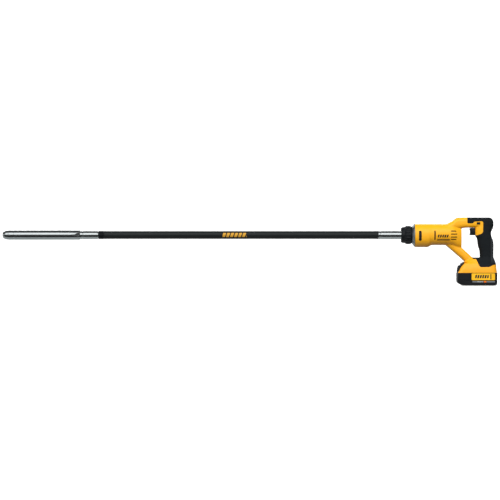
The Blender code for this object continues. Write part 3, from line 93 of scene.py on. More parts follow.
# %% A socket that understands arithmetic
class Flow:
    """The output socket of a node. Arithmetic on it adds Math nodes."""

    def __init__(self, socket):
        self.socket = socket

    def math(self, operation, first, second):
        node = self.socket.node.id_data.nodes.new("ShaderNodeMath")
        node.operation = operation
        connect(first, node.inputs[0])
        connect(second, node.inputs[1])
        return Flow(node.outputs[0])

    def __add__(self, other):
        return self.math("ADD", self, other)

    def __radd__(self, other):
        return self.math("ADD", other, self)

    def __sub__(self, other):
        return self.math("SUBTRACT", self, other)

    def __rsub__(self, other):
        return self.math("SUBTRACT", other, self)

    def __mul__(self, other):
        return self.math("MULTIPLY", self, other)

    def __rmul__(self, other):
        return self.math("MULTIPLY", other, self)

    def __truediv__(self, other):
        return self.math("DIVIDE", self, other)

    def __rtruediv__(self, other):
        return self.math("DIVIDE", other, self)

    def __mod__(self, other):
        return self.math("FLOORED_MODULO", self, other)

    def __rmod__(self, other):
        return self.math("FLOORED_MODULO", other, self)

    def __gt__(self, other):
        return self.math("GREATER_THAN", self, other)

    def __lt__(self, other):
        return self.math("LESS_THAN", self, other)


def connect(value, socket):
    if isinstance(value, Flow):
        socket.node.id_data.links.new(value.socket, socket)
    else:
        socket.default_value = value


# %% A material that grows one node at a time
class Finish:
    """A Principled material in the object's own coordinates, which here are metres."""

    def __init__(self, name, colour, roughness, metallic=0.0, coat=0.0, gloss=0.5):
        self.material = bpy.data.materials.new(name)
        self.material.use_nodes = True
        self.tree = self.material.node_tree
        self.shader = self.tree.nodes["Principled BSDF"]
        self.material.diffuse_color = (*colour, 1.0)
        self.set(Roughness=roughness, Metallic=metallic)
        self.shader.inputs["Base Color"].default_value = (*colour, 1.0)
        self.shader.inputs["Coat Weight"].default_value = coat
        self.shader.inputs["Specular IOR Level"].default_value = gloss
        self.place = self.add("ShaderNodeTexCoord", {}, {}, "Object")

    def add(self, kind, settings, sockets, output=0):
        """Adds a node: its settings first, then values or links for its sockets by name or number."""
        node = self.tree.nodes.new(kind)
        for name, value in settings.items():
            setattr(node, name, value)
        for name, value in sockets.items():
            connect(value, node.inputs[name])
        return Flow(node.outputs[output])

    def set(self, **sockets):
        for name, value in sockets.items():
            connect(value, self.shader.inputs[name.replace("_", " ")])
        return self

    def along(self, axis):
        return self.add("ShaderNodeSeparateXYZ", {}, {"Vector": self.place}, axis)

    def noise(self, scale, detail=2.0, stretch=(1, 1, 1)):
        """Noise from about 0 to 1; a higher stretch along an axis makes it finer that way."""
        vector = self.add("ShaderNodeVectorMath", {"operation": "MULTIPLY"}, {0: self.place, 1: stretch})
        return self.add("ShaderNodeTexNoise", {}, {"Vector": vector, "Scale": scale, "Detail": detail}, 0)

    def blend(self, share, first, second):
        """A Mix node for colours. Each is a triple or the output of another node."""
        colours = [c if isinstance(c, Flow) else (*c, 1.0) for c in (first, second)]
        return self.add("ShaderNodeMix", {"data_type": "RGBA"}, {0: share, 6: colours[0], 7: colours[1]}, 2)

    def bump(self, height, depth):
        """Depth is what a height of 1 stands for, in metres."""
        return self.set(Normal=self.add("ShaderNodeBump", {}, {"Height": height, "Distance": depth}))

    def edges(self):
        """1 on sharp outer edges, 0 elsewhere. A flat face has a pointiness of 0.5."""
        return self.ramp(self.add("ShaderNodeNewGeometry", {}, {}, "Pointiness"), 0.52, 0.62)

    def ramp(self, value, start, end):
        """0 at the start, 1 at the end, and a straight rise between them."""
        sockets = {"Value": value, "From Min": start, "From Max": end}
        return self.add("ShaderNodeMapRange", {"clamp": True}, sockets)


print("shader tools ready")

# %% [markdown]
# ## Moulded plastics and rubber
# The yellow housing is a glass-filled nylon moulding. Its mould is spark-eroded, which leaves a fine
# grain that scatters light, so the grain goes into a Bump node and the shine varies a little from place
# to place. The grips are a soft rubber moulded over it: darker, rougher, with a coarser grain and a paler
# strip down the back of the hand grip. The battery case and the controls are a smoother black plastic.

# %% Yellow housing
YELLOW = (0.92, 0.43, 0.004)
SHADED_ORANGE_YELLOW = (0.86, 0.345, 0.003)
EDGE_HIGHLIGHT_YELLOW = (0.98, 0.56, 0.04)

yellow = Finish("moulded yellow", YELLOW, 0.42)
grain = yellow.noise(1500.0, 3.0)
patches = yellow.noise(22.0, 3.0)
# Painted shade: lower down the yellow turns towards the shaded orange, and random patches add a little of
# it too.
painted_shade_ramp = (0.115 - yellow.along("Z")) * 7.0 + 0.2
lower = yellow.add("ShaderNodeClamp", {}, {"Value": painted_shade_ramp, "Min": 0.0, "Max": 0.45})
tone_and_painted_shade = yellow.blend(lower + patches * 0.12, YELLOW, SHADED_ORANGE_YELLOW)
# Painted highlight: sharp outer edges take a lighter yellow.
yellow.set(Base_Color=yellow.blend(yellow.edges() * 0.25, tone_and_painted_shade, EDGE_HIGHLIGHT_YELLOW))
yellow.set(Roughness=0.34 + patches * 0.12 + grain * 0.06).bump(grain, 0.00006)
print("finish:", yellow.material.name)

# %% Rubber grip
GRIP_BLACK = (0.0060, 0.0080, 0.0095)
STRIP_GREY = (0.034, 0.038, 0.044)
STRIP_X = 0.0405

rubber = Finish("grip rubber", GRIP_BLACK, 0.7, gloss=0.14)
stipple = rubber.noise(900.0, 4.0)
height = rubber.along("Z")
strip = rubber.ramp(rubber.along("X"), STRIP_X, STRIP_X + 0.0012)
strip = strip * rubber.ramp(height, 0.066, 0.078) * rubber.ramp(height, 0.174, 0.164)
ribs = (height % 0.0075 < 0.0048) * strip
dust = rubber.noise(35.0, 4.0)
rubber.set(Base_Color=rubber.blend(strip * 0.75 + dust * 0.12, GRIP_BLACK, STRIP_GREY))
rubber.set(Roughness=0.62 + dust * 0.16).bump(stipple * 0.35 + ribs * 1.6, 0.00022)
print("finish:", rubber.material.name)


# %% Black plastics
def black_plastic(name, colour, grain_size, shine):
    made = Finish(name, colour, shine, gloss=0.2)
    fine = made.noise(grain_size, 3.0)
    smears = made.noise(40.0, 4.0)
    # Painted highlight: sharp outer edges take a lighter colour.
    painted_edge_highlight = made.edges() * 0.35
    made.set(Base_Color=made.blend(painted_edge_highlight + smears * 0.08, colour, tuple(3.0 * c + 0.010 for c in colour)))
    return made.set(Roughness=shine - 0.08 + smears * 0.18).bump(fine, 0.00004)


case_black = black_plastic("battery case plastic", (0.0065, 0.0075, 0.0090), 1400.0, 0.40)
control_black = black_plastic("control plastic", (0.0060, 0.0068, 0.0080), 2000.0, 0.34)
collar_black = black_plastic("collar plastic", (0.0052, 0.0068, 0.0082), 1100.0, 0.44)
inner_black = black_plastic("inner plastic", (0.014, 0.014, 0.016), 900.0, 0.55)
button_red = black_plastic("orange button plastic", (0.82, 0.17, 0.012), 1800.0, 0.38)
print("black plastics and the button: 5 finishes")

# %% [markdown]
# ## Hose rubber
# The casing is an extruded rubber tube over steel. Extrusion leaves faint streaks that run along it, so
# the noise is stretched: hardly any change along X, a fine one round the tube. The mark printed halfway
# along is a plain row of slanted bars, drawn by comparing coordinates, on the left and the right side.

# %% Hose with its printed bars
HOSE_BLACK = (0.0062, 0.0085, 0.0090)
MARK_GOLD = (0.70, 0.36, 0.035)
AXIS_HEIGHT = 0.152
MARK_START, MARK_END = -0.762, -0.690
BAR_PITCH = 0.0120

hose_rubber = Finish("hose rubber", HOSE_BLACK, 0.5, gloss=0.24)
streaks = hose_rubber.noise(1.0, 3.0, (14.0, 420.0, 420.0))
scuffs = hose_rubber.noise(9.0, 5.0, (0.6, 5.0, 5.0))
length, height = hose_rubber.along("X"), hose_rubber.along("Z") - AXIS_HEIGHT
field = (length > MARK_START) * (length < MARK_END) * (height > -0.0062) * (height < 0.0062)
bars = ((length - height * 0.35 - MARK_START) % BAR_PITCH < 0.0086) * field
plain = hose_rubber.blend(scuffs * 0.28, HOSE_BLACK, (0.026, 0.030, 0.031))
hose_rubber.set(Base_Color=hose_rubber.blend(bars * 0.9, plain, MARK_GOLD))
hose_rubber.set(Roughness=0.34 + scuffs * 0.26).bump(streaks + bars * 0.6, 0.00005)
print("hose mark from", MARK_START, "to", MARK_END)

# %% [markdown]
# ## Metals
# Turned steel carries rings left by the tool tip, so its noise is very fine along X and almost even round
# the bar. The head has been in gritty concrete moulds and is a touch duller. The gear case's nose is cast
# aluminium with a fine pebbled skin. Screws and gears are darker, oiled steel.


# %% Metal finishes
def turned_metal(name, colour, shine, rings=2600.0):
    made = Finish(name, colour, shine, metallic=1.0)
    lines = made.noise(1.0, 2.0, (rings, 30.0, 30.0))
    cloud = made.noise(14.0, 4.0, (1.0, 3.0, 3.0))
    made.set(Base_Color=made.blend(cloud * 0.5, colour, tuple(c * 0.72 for c in colour)))
    return made.set(Roughness=shine - 0.05 + cloud * 0.08 + lines * 0.03).bump(lines, 0.0000018)


def cast_metal(name, colour, shine, pebble=700.0):
    made = Finish(name, colour, shine, metallic=1.0)
    skin = made.noise(pebble, 4.0)
    cloud = made.noise(30.0, 3.0)
    made.set(Base_Color=made.blend(cloud * 0.6, colour, tuple(c * 0.62 for c in colour)))
    return made.set(Roughness=shine + skin * 0.16).bump(skin, 0.00008)


bright_steel = turned_metal("turned steel", (0.43, 0.46, 0.465), 0.17)
head_steel = turned_metal("head steel", (0.40, 0.43, 0.435), 0.19, 1800.0)
dark_steel = turned_metal("oiled steel", (0.20, 0.21, 0.22), 0.34)
cast_grey = cast_metal("cast aluminium", (0.33, 0.37, 0.39), 0.38)
print("metals: 4 finishes")

# %% [markdown]
# ## Finishes for the inside
# Through the vents, and when the battery is off, some of the inside shows: copper windings wound in many
# thin turns, the green board, the wrapped cells and the motor leads. Each gets the pattern that tells
# what it is, made from bands or noise, and nothing more.

# %% Windings, board, cell wrap and leads
COPPER = (0.66, 0.27, 0.09)
BOARD_GREEN = (0.012, 0.12, 0.045)
WRAP_BLUE = (0.03, 0.14, 0.36)
LEAD_RED = (0.50, 0.02, 0.015)
WIRE_PITCH = 0.0009

copper = Finish("enamelled windings", COPPER, 0.3, metallic=0.9)
turns = copper.along("X") % WIRE_PITCH / WIRE_PITCH
varnish = copper.noise(60.0, 3.0)
copper.set(Base_Color=copper.blend(varnish, COPPER, (0.40, 0.13, 0.035)))
copper.set(Roughness=0.24 + varnish * 0.2).bump(turns, 0.00025)

board = Finish("board green", BOARD_GREEN, 0.3, coat=0.4)
track = (board.along("X") % 0.003 < 0.0008) * (board.along("Y") % 0.007 < 0.005)
board.set(Base_Color=board.blend(track, BOARD_GREEN, (0.06, 0.26, 0.10)))
board.set(Roughness=0.36 - track * 0.1).bump(track, 0.00004)

cell_wrap = Finish("cell wrap", WRAP_BLUE, 0.35)
crease = cell_wrap.noise(160.0, 3.0, (1.0, 0.2, 1.0))
cell_wrap.set(Base_Color=cell_wrap.blend(crease, WRAP_BLUE, (0.02, 0.09, 0.24)))
cell_wrap.set(Roughness=0.3 + crease * 0.15).bump(crease, 0.0001)

lead_red = Finish("lead insulation", LEAD_RED, 0.4)
sheen = lead_red.noise(260.0, 2.0)
lead_red.set(Base_Color=lead_red.blend(sheen, LEAD_RED, (0.38, 0.012, 0.01)))
lead_red.set(Roughness=0.34 + sheen * 0.14)
print("inner finishes: 4")

# %% [markdown]
# ## Finish the CAD parts that stay
# Gears, shafts, bearings, the motor and the boards keep their CAD shapes, because those are right. Each
# takes the finish that the record's material slot names for it. Visible mouldings are replaced later.

# %% One finish for each material slot
finishes = {
    "yellow_housing": yellow,
    "rubber_grip": rubber,
    "black_plastic": inner_black,
    "hose_rubber": hose_rubber,
    "bright_steel": bright_steel,
    "dark_steel": dark_steel,
    "cast_case": cast_grey,
    "copper_winding": copper,
    "circuit_board": board,
    "cell_wrap": cell_wrap,
    "red_wire": lead_red,
    "orange_button": button_red,
}
slot_of = {part["node"]: part["material_slot"] for part in frame["record"]["subparts"]}
body_of = {node: body for body, nodes in frame["record"]["behaviour"]["bodies"].items() for node in nodes}
for name, thing in frame["nodes"].items():
    thing.data.materials.clear()
    thing.data.materials.append(finishes[slot_of[name]].material)
print("finished", len(slot_of), "CAD parts from", len(finishes), "slots")

# %% [markdown]
# ## Tools for shapes
# Three ways of making a shape cover nearly the whole machine. A turned piece spins a profile round the
# drive line. A loft skins a run of closed rings. A slab pushes a flat outline through the machine from
# side to side and rounds its edges. Corners of profiles and outlines are eased first, because a moulded
# or turned edge is never perfectly sharp and a rounded one catches the light.


# %% Objects, booleans and finishing calls
def thing_from(form, name):
    bmesh.ops.recalc_face_normals(form, faces=form.faces)
    mesh = bpy.data.meshes.new(name)
    form.to_mesh(mesh)
    form.free()
    made = bpy.data.objects.new(name, mesh)
    bpy.context.scene.collection.objects.link(made)
    return made


def applied(thing, kind, **settings):
    """Adds one modifier and makes its result the object's own mesh."""
    modifier = thing.modifiers.new(kind.lower(), kind)
    for name, value in settings.items():
        setattr(modifier, name, value)
    graph = bpy.context.evaluated_depsgraph_get()
    mesh = bpy.data.meshes.new_from_object(thing.evaluated_get(graph))
    thing.modifiers.clear()
    old, thing.data = thing.data, mesh
    bpy.data.meshes.remove(old)


def carved(thing, operation, tool, keep=False):
    applied(thing, "BOOLEAN", object=tool, operation=operation, solver="MANIFOLD")
    if not keep:
        bpy.data.objects.remove(tool)
    return thing


def twin(thing, name):
    made = bpy.data.objects.new(name, thing.data.copy())
    bpy.context.scene.collection.objects.link(made)
    return made


def finished(thing, name, finish, node, *more_nodes, crease=32.0, replace=True):
    """Names, shades and paints a piece. It rides with the node's body and may stand for the nodes."""
    thing.name = name
    thing.data.materials.clear()
    thing.data.materials.append(finish.material)
    thing.data.polygons.foreach_set("material_index", [0] * len(thing.data.polygons))
    thing.data.shade_smooth()
    thing.data.set_sharp_from_angle(angle=math.radians(crease))
    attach(thing, body_of[node])
    if replace:
        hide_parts(node, *more_nodes)


print("object helpers ready")


# %% Eased corners, turned pieces, lofts and slabs
def eased(points, radius, steps=3):
    """The outline with each corner cut back by the radius, or less on short edges, and rounded."""
    rounded = []
    count = len(points)
    for i, point in enumerate(points):
        here = Vector(point)
        before, after = Vector(points[i - 1]), Vector(points[(i + 1) % count])
        start = here + (before - here) * min(0.45, radius / max((before - here).length, 1e-9))
        end = here + (after - here) * min(0.45, radius / max((after - here).length, 1e-9))
        for step in range(steps + 1):
            t = step / steps
            rounded.append(tuple(start * (1 - t) ** 2 + here * (2 * t * (1 - t)) + end * t**2))
    return rounded


def skinned(name, rings):
    """A closed mesh through a run of rings with equal point counts."""
    form = bmesh.new()
    loops = [[form.verts.new(point) for point in ring] for ring in rings]
    for near, far in zip(loops, loops[1:]):
        for i in range(len(near)):
            j = (i + 1) % len(near)
            form.faces.new((near[i], near[j], far[j], far[i]))
    form.faces.new(loops[0])
    form.faces.new(loops[-1])
    return thing_from(form, name)


def spun(name, profile, steps=96, centre=(0.0, AXIS_HEIGHT), radius_at=None):
    """Spins a closed profile of (x, radius) round a line along X. Radius 0 closes an end."""
    form = bmesh.new()
    rings = []
    for x, radius in profile:
        ring = []
        for step in range(steps):
            angle = math.tau * step / steps
            reach = radius_at(x, radius, angle) if radius_at else radius
            spot = (x, centre[0] + reach * math.cos(angle), centre[1] + reach * math.sin(angle))
            ring.append(form.verts.new(spot))
        rings.append(ring)
    hollow = min(radius for _, radius in profile) > 0
    runs = list(zip(rings, rings[1:])) + ([(rings[-1], rings[0])] if hollow else [])
    for near, far in runs:
        for i in range(steps):
            j = (i + 1) % steps
            form.faces.new((near[i], near[j], far[j], far[i]))
    if not hollow:
        bmesh.ops.remove_doubles(form, verts=form.verts, dist=1e-7)
    return thing_from(form, name)


def slab(name, outline, low, high, edge=0.0, axis="y"):
    """Pushes an outline in X and Z through from one side to the other, or one in Y and Z along X."""
    form = bmesh.new()
    place = {"y": lambda a, b, c: (a, c, b), "x": lambda a, b, c: (c, a, b)}[axis]
    rings = [[form.verts.new(place(a, b, depth)) for a, b in outline] for depth in (low, high)]
    for i in range(len(outline)):
        j = (i + 1) % len(outline)
        form.faces.new((rings[0][i], rings[0][j], rings[1][j], rings[1][i]))
    form.faces.new(rings[0])
    form.faces.new(rings[1])
    made = thing_from(form, name)
    if edge:
        applied(made, "BEVEL", width=edge, segments=3, limit_method="ANGLE", angle_limit=math.radians(40))
    return made


def block(name, low, high, edge=0.0):
    outline = [(low[0], low[2]), (high[0], low[2]), (high[0], high[2]), (low[0], high[2])]
    return slab(name, outline, low[1], high[1], edge)


def circle(x, z, radius, steps):
    turns = [math.tau * k / steps for k in range(steps)]
    return [(x + radius * math.cos(turn), z + radius * math.sin(turn)) for turn in turns]


def box_outline(left, right, low, high, corner):
    return eased([(left, low), (right, low), (right, high), (left, high)], corner, 4)


print("shape helpers ready")

# %% [markdown]
# ## The vibrating head
# The head is the working end: a thick steel tube with a rounded, screwed-in cap. Two flats near its back
# take a spanner. All of it is turned, so a profile is spun round the drive line. The ends of each part
# come from its CAD node, and the cap's nose is an arc that is flatter in front than a half circle.

# %% Cap and tube
cap_low, cap_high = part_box("head_cap")
tube_low, tube_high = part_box("head_tube")
cap_radius = (cap_high.z - cap_low.z) / 2
tube_radius = (tube_high.z - tube_low.z) / 2
NOSE_STEPS = 14
nose_back = tube_low.x - 0.0003
nose_start = nose_back - 0.0008
nose = []
for step in range(NOSE_STEPS + 1):
    angle = math.radians(90) * step / NOSE_STEPS
    along = nose_start - (nose_start - cap_low.x) * math.sin(angle) ** 1.15
    nose.append((along, cap_radius * max(0.0, math.cos(angle)) ** 0.62))
cap_profile = [(cap_high.x, 0.0), (cap_high.x, cap_radius * 0.7), (nose_back, cap_radius * 0.7)]
cap_profile += [(nose_back, cap_radius - 0.0006)] + nose
finished(spun("cap", cap_profile), "head_nose_cap", head_steel, "head_cap")

bore = tube_radius - 0.0034
outside = [
    (tube_low.x, bore),
    (tube_low.x, tube_radius),
    (tube_low.x + 0.0150, tube_radius),
    (tube_low.x + 0.0154, tube_radius - 0.0003),
    (tube_low.x + 0.0162, tube_radius - 0.0003),
    (tube_low.x + 0.0166, tube_radius),
    (tube_high.x - 0.0300, tube_radius),
    (tube_high.x, tube_radius),
    (tube_high.x, bore),
]
head = spun("head", eased(outside, 0.0003, 2))
flat_floor = tube_radius - 0.0017
for side in (-1, 1):
    wedge = [
        (tube_high.x - 0.0170, side * (tube_radius + 0.0002)),
        (tube_high.x - 0.0050, side * flat_floor),
        (tube_high.x + 0.0020, side * flat_floor),
        (tube_high.x + 0.0020, side * 0.02),
        (tube_high.x - 0.0170, side * 0.02),
    ]
    rings = [[(x, y, AXIS_HEIGHT + z) for x, y in wedge] for z in (-0.02, 0.02)]
    carved(head, "DIFFERENCE", skinned("flat", rings))
finished(head, "head_outer_tube", head_steel, "head_tube", crease=14.0)
print("head tube", round(2000 * tube_radius, 1), "mm across")

# %% [markdown]
# ## Fitting, ferrule, hose and coupling tube
# Behind the head a steel fitting carries the casing, and a ringed ferrule grips the end of the rubber
# hose. At the other end the hose slips over a steel coupling tube. The hose is a real tube with rounded
# rims, and a slight roll at each rim shows where it stops.

# %% Steel and rubber of the casing
fit_low, fit_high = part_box("head_end_fitting")
fit_radius = (fit_high.z - fit_low.z) / 2
ferrule_low, ferrule_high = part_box("hose_ferrule")
hose_low, hose_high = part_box("hose")
hose_radius = (hose_high.z - hose_low.z) / 2
joint_x = tube_high.x + 0.0003
fitting_profile = [
    (joint_x, fit_radius * 0.5),
    (joint_x, fit_radius),
    (joint_x + 0.0060, fit_radius),
    (joint_x + 0.0068, fit_radius - 0.0007),
    (joint_x + 0.0084, fit_radius - 0.0007),
    (joint_x + 0.0092, fit_radius),
    (ferrule_low.x - 0.0040, fit_radius),
    (ferrule_low.x - 0.0003, fit_radius - 0.0014),
    (ferrule_low.x - 0.0003, fit_radius * 0.5),
]
finished(spun("fit", eased(fitting_profile, 0.0005, 2)), "head_fitting_skin", bright_steel,
         "head_end_fitting")

ferrule_radius = (ferrule_high.z - ferrule_low.z) / 2
RINGS = 5
pitch = (ferrule_high.x - ferrule_low.x) / RINGS
ferrule_profile = [(ferrule_high.x, hose_radius * 0.75), (ferrule_low.x, hose_radius * 0.75)]
for ring in range(RINGS):
    start = ferrule_low.x + ring * pitch
    ferrule_profile += [
        (start + pitch * 0.02, ferrule_radius - 0.0011),
        (start + pitch * 0.28, ferrule_radius),
        (start + pitch * 0.72, ferrule_radius),
        (start + pitch * 0.98, ferrule_radius - 0.0011),
    ]
finished(spun("ferrule", eased(ferrule_profile, 0.0005, 2)), "ferrule_ringed", collar_black, "hose_ferrule")

HOSE_STEPS = 40
hose_bore = hose_radius - 0.0032
hose_length = hose_high.x - hose_low.x
hose_profile = [(hose_low.x, hose_bore), (hose_low.x, hose_radius)]
for step in range(1, HOSE_STEPS):
    hose_profile.append((hose_low.x + hose_length * step / HOSE_STEPS, hose_radius - 0.0002))
hose_profile += [(hose_high.x, hose_radius), (hose_high.x, hose_bore)]
finished(spun("hose", eased(hose_profile, 0.0012, 3)), "hose_cover", hose_rubber, "hose")

coupling_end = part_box("coupling_tube")[1].x
collar_low, collar_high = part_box("nose_collar")
coupling_radius = 0.0123
coupling_flange = 0.0172
coupling_profile = [
    (hose_high.x + 0.0003, coupling_radius * 0.6),
    (hose_high.x + 0.0003, coupling_radius),
    (hose_high.x + 0.0050, coupling_radius),
    (hose_high.x + 0.0055, coupling_radius - 0.0006),
    (hose_high.x + 0.0070, coupling_radius - 0.0006),
    (hose_high.x + 0.0075, coupling_radius),
    (collar_low.x + 0.0063, coupling_radius),
    (collar_low.x + 0.0063, coupling_flange),
    (coupling_end, coupling_flange),
    (coupling_end, coupling_radius * 0.6),
]
finished(spun("coupling", eased(coupling_profile, 0.0004, 2)), "coupling_tube_skin", bright_steel,
         "coupling_tube")
print("casing pieces: 4, hose", round(1000 * hose_length), "mm long")

# %% [markdown]
# ## Coupling collar and gear case nose
# The collar is a nut that is tightened by a gloved hand, so it has deep rounded flutes that fade out
# towards its small end. The spinning tool takes a function that changes the radius with the angle, which
# is all that a fluted part needs. The cast nose behind it flares out to the housing and holds four screws.

# %% Fluted collar
FLUTES = 16
collar_radius = (collar_high.z - collar_low.z) / 2


def fluted(x, radius, angle):
    share = min(1.0, max(0.0, (x - collar_low.x - 0.004) / 0.010))
    fade = share * min(1.0, max(0.0, (collar_high.x - 0.0035 - x) / 0.003))
    if radius < collar_radius * 0.72:
        return radius
    return radius - 0.0016 * fade * (0.5 - 0.5 * math.cos(FLUTES * angle)) ** 2.5


start, end = collar_low.x, collar_high.x
collar_profile = [
    (start, coupling_radius + 0.0003),
    (start, collar_radius - 0.0060),
    (start + 0.0030, collar_radius - 0.0040),
    (start + 0.0060, collar_radius - 0.0036),
    (start + 0.0105, collar_radius - 0.0034),
    (start + 0.0125, collar_radius - 0.0020),
    (start + 0.0155, collar_radius),
    (start + 0.0175, collar_radius),
    (start + 0.0200, collar_radius),
    (start + 0.0225, collar_radius),
    (start + 0.0250, collar_radius),
    (end - 0.0040, collar_radius - 0.0006),
    (end, collar_radius - 0.0028),
    (end, 0.0180),
    (start + 0.0060, 0.0180),
    (start + 0.0060, coupling_radius + 0.0003),
]
collar = spun("collar", eased(collar_profile, 0.0006, 2), 288, radius_at=fluted)
finished(collar, "collar_fluted", collar_black, "nose_collar", crease=50.0)
print("collar with", FLUTES, "flutes")

# %% Cast nose with its four screw holes
case_low, case_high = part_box("gear_case")
rim = -0.1863
case_profile = [
    (case_low.x, 0.0130),
    (case_low.x, 0.0177),
    (-0.1943, 0.0177),
    (-0.1943, 0.0260),
    (-0.1930, 0.0275),
    (rim - 0.0015, 0.0342),
    (rim + 0.0002, 0.0342),
    (rim + 0.0002, 0.0241),
    (case_high.x, 0.0241),
    (case_high.x, 0.0196),
    (-0.1840, 0.0196),
    (-0.1840, 0.0130),
]
case = spun("case", eased(case_profile, 0.0006, 2), 120)


def socket_screw(name, node, seat, axis, spot, head_height):
    """A round-headed screw with a six-sided socket. Its head stands on the seat, away from its tip."""
    low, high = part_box(node)
    tip = high.x if axis == "x" else low.y
    up = -1.0 if axis == "x" else 1.0
    head_radius = (high.z - low.z) / 2
    top = seat + up * head_height
    profile = [
        (tip, 0.0),
        (tip + up * 0.0006, 0.0009),
        (tip + up * 0.0012, 0.0015),
        (seat, 0.0015),
        (seat, head_radius),
        (top - up * 0.0007, head_radius),
        (top, head_radius - 0.0008),
        (top, 0.0),
    ]
    screw = spun(name, profile, 32, (0.0, 0.0))
    flats = circle(0.0, 0.0, 0.0016, 6)
    depths = sorted((top - up * 0.0014, top + up * 0.001))
    carved(screw, "DIFFERENCE", slab("socket", flats, *depths, axis="x"))
    for point in screw.data.vertices:
        x, y, z = point.co
        point.co = Vector((x, y, z)) + spot if axis == "x" else Vector((y, x, z)) + spot
    if axis == "y":
        screw.data.flip_normals()
    finished(screw, name, dark_steel, node)


for number in range(1, 5):
    low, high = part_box(f"flange_screw_{number}")
    spot = Vector((0.0, (low.y + high.y) / 2, (low.z + high.z) / 2))
    hole = [(rim - 0.0028, 0.0), (rim - 0.0028, 0.0034), (rim - 0.012, 0.0034), (rim - 0.012, 0.0)]
    carved(case, "DIFFERENCE", spun("hole", hole, 32, (spot.y, spot.z)))
    shank = [(rim - 0.010, 0.0), (rim - 0.010, 0.0018), (rim + 0.002, 0.0018), (rim + 0.002, 0.0)]
    carved(case, "DIFFERENCE", spun("shank", shank, 24, (spot.y, spot.z)))
    socket_screw(f"nose_screw_{number}", f"flange_screw_{number}", rim - 0.0031, "x", spot, 0.0022)
finished(case, "gear_case_nose", cast_grey, "gear_case")
print("nose and 4 screws")

# %% [markdown]
# ## The D-handled body
# Motor barrel, top arm, hand grip, foot and strut flow into each other, and the foot has cheeks that reach
# forward beside the battery. Each is a loft through rounded sections. Adding more sections along smooth
# curves takes away the facets of the CAD version. The six lofts are then remeshed together in small
# cubes, which makes them one skin, and smoothing that skin rounds the inner corners where they meet, as
# the real moulding does.

# %% Section tables
GRIP_HALF = 0.0178
FOOT_HALF = 0.0360
GAP = 0.0003
WALL = 0.0028
PAST_SIDE = 0.06  # further out than either side of the tool, for cuts that go right through
front_x = -0.186
pack_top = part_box("housing_left")[0].z - 0.0004

# x, centre height, half height, half width, squareness
barrel_rows = [
    (front_x, 0.1505, 0.0350, 0.0350, 2.3),
    (front_x + 0.037, 0.1505, 0.0350, 0.0350, 2.3),
    (front_x + 0.053, 0.1535, 0.0318, 0.0322, 2.2),
    (-0.0930, 0.1535, 0.0318, 0.0322, 2.2),
    (-0.0740, 0.1525, 0.0328, 0.0298, 2.3),
    (-0.0580, 0.1455, 0.0328, GRIP_HALF + 0.0065, 2.4),
    (-0.0460, 0.1425, 0.0300, GRIP_HALF - 0.0005, 2.6),
]
arm_rows = [
    (-0.0900, 0.1700, 0.0160, 0.0245, 2.4),
    (-0.0740, 0.1775, 0.0165, 0.0225, 2.5),
    (-0.0600, 0.1862, 0.0175, GRIP_HALF + 0.0015, 2.8),
    (-0.0420, 0.1885, 0.0161, GRIP_HALF, 3.0),
    (-0.0300, 0.1892, 0.0154, GRIP_HALF, 3.2),
    (0.0360, 0.1892, 0.0154, GRIP_HALF, 3.2),
    (0.0450, 0.1878, 0.0136, GRIP_HALF - 0.0008, 3.0),
    (0.0495, 0.1850, 0.0085, GRIP_HALF - 0.0035, 2.6),
]
# height, front x, back x, half width, squareness
grip_rows = [
    (0.1950, -0.0060, 0.0480, GRIP_HALF, 3.0),
    (0.1840, -0.0060, 0.0500, GRIP_HALF, 3.0),
    (0.1740, -0.0060, 0.0490, GRIP_HALF, 3.0),
    (0.1660, -0.0060, 0.0452, GRIP_HALF, 3.0),
    (0.1580, -0.0060, 0.0430, GRIP_HALF, 2.9),
    (0.1500, -0.0050, 0.0438, GRIP_HALF, 2.8),
    (0.1430, 0.0000, 0.0460, GRIP_HALF, 2.6),
    (0.1320, 0.0018, 0.0498, GRIP_HALF, 2.5),
    (0.1200, 0.0034, 0.0505, GRIP_HALF, 2.5),
    (0.1030, 0.0082, 0.0502, GRIP_HALF - 0.0004, 2.5),
    (0.0860, 0.0090, 0.0502, GRIP_HALF - 0.0004, 2.6),
    (0.0700, 0.0070, 0.0530, GRIP_HALF + 0.0010, 2.8),
]
foot_rows = [
    (0.0845, -0.0160, 0.0500, GRIP_HALF + 0.0014, 3.0),
    (0.0820, -0.0240, 0.0515, GRIP_HALF + 0.0028, 3.0),
    (0.0740, -0.0370, 0.0548, GRIP_HALF + 0.0072, 3.0),
    (0.0660, -0.0415, 0.0572, FOOT_HALF - 0.0058, 3.4),
    (0.0560, -0.0470, 0.0583, FOOT_HALF - 0.0020, 3.8),
    (0.0470, -0.0520, 0.0590, FOOT_HALF - 0.0005, 4.2),
    (pack_top + 0.0004, -0.0545, 0.0598, FOOT_HALF, 4.6),
]
# the foot where it reaches forward beside the pack's hump, in the same order
cheek_rows = [
    (0.0710, -0.0390, 0.0300, FOOT_HALF - 0.0115, 5.0),
    (0.0660, -0.0440, 0.0300, FOOT_HALF - 0.0062, 7.0),
    (0.0600, -0.0480, 0.0300, FOOT_HALF - 0.0038, 7.0),
    (0.0541, -0.0517, 0.0300, FOOT_HALF - 0.0022, 7.0),
    (0.0470, -0.0549, 0.0300, FOOT_HALF - 0.0009, 7.0),
    (0.0425, -0.0573, 0.0300, FOOT_HALF - 0.0006, 7.0),
    (pack_top + 0.0004, -0.0598, 0.0300, FOOT_HALF - 0.0004, 7.0),
    (pack_top - 0.0080, -0.0598, 0.0300, FOOT_HALF - 0.0004, 7.0),
]
HUMP_HALF = 0.0275  # half width of the hump that the pack has in front of the foot
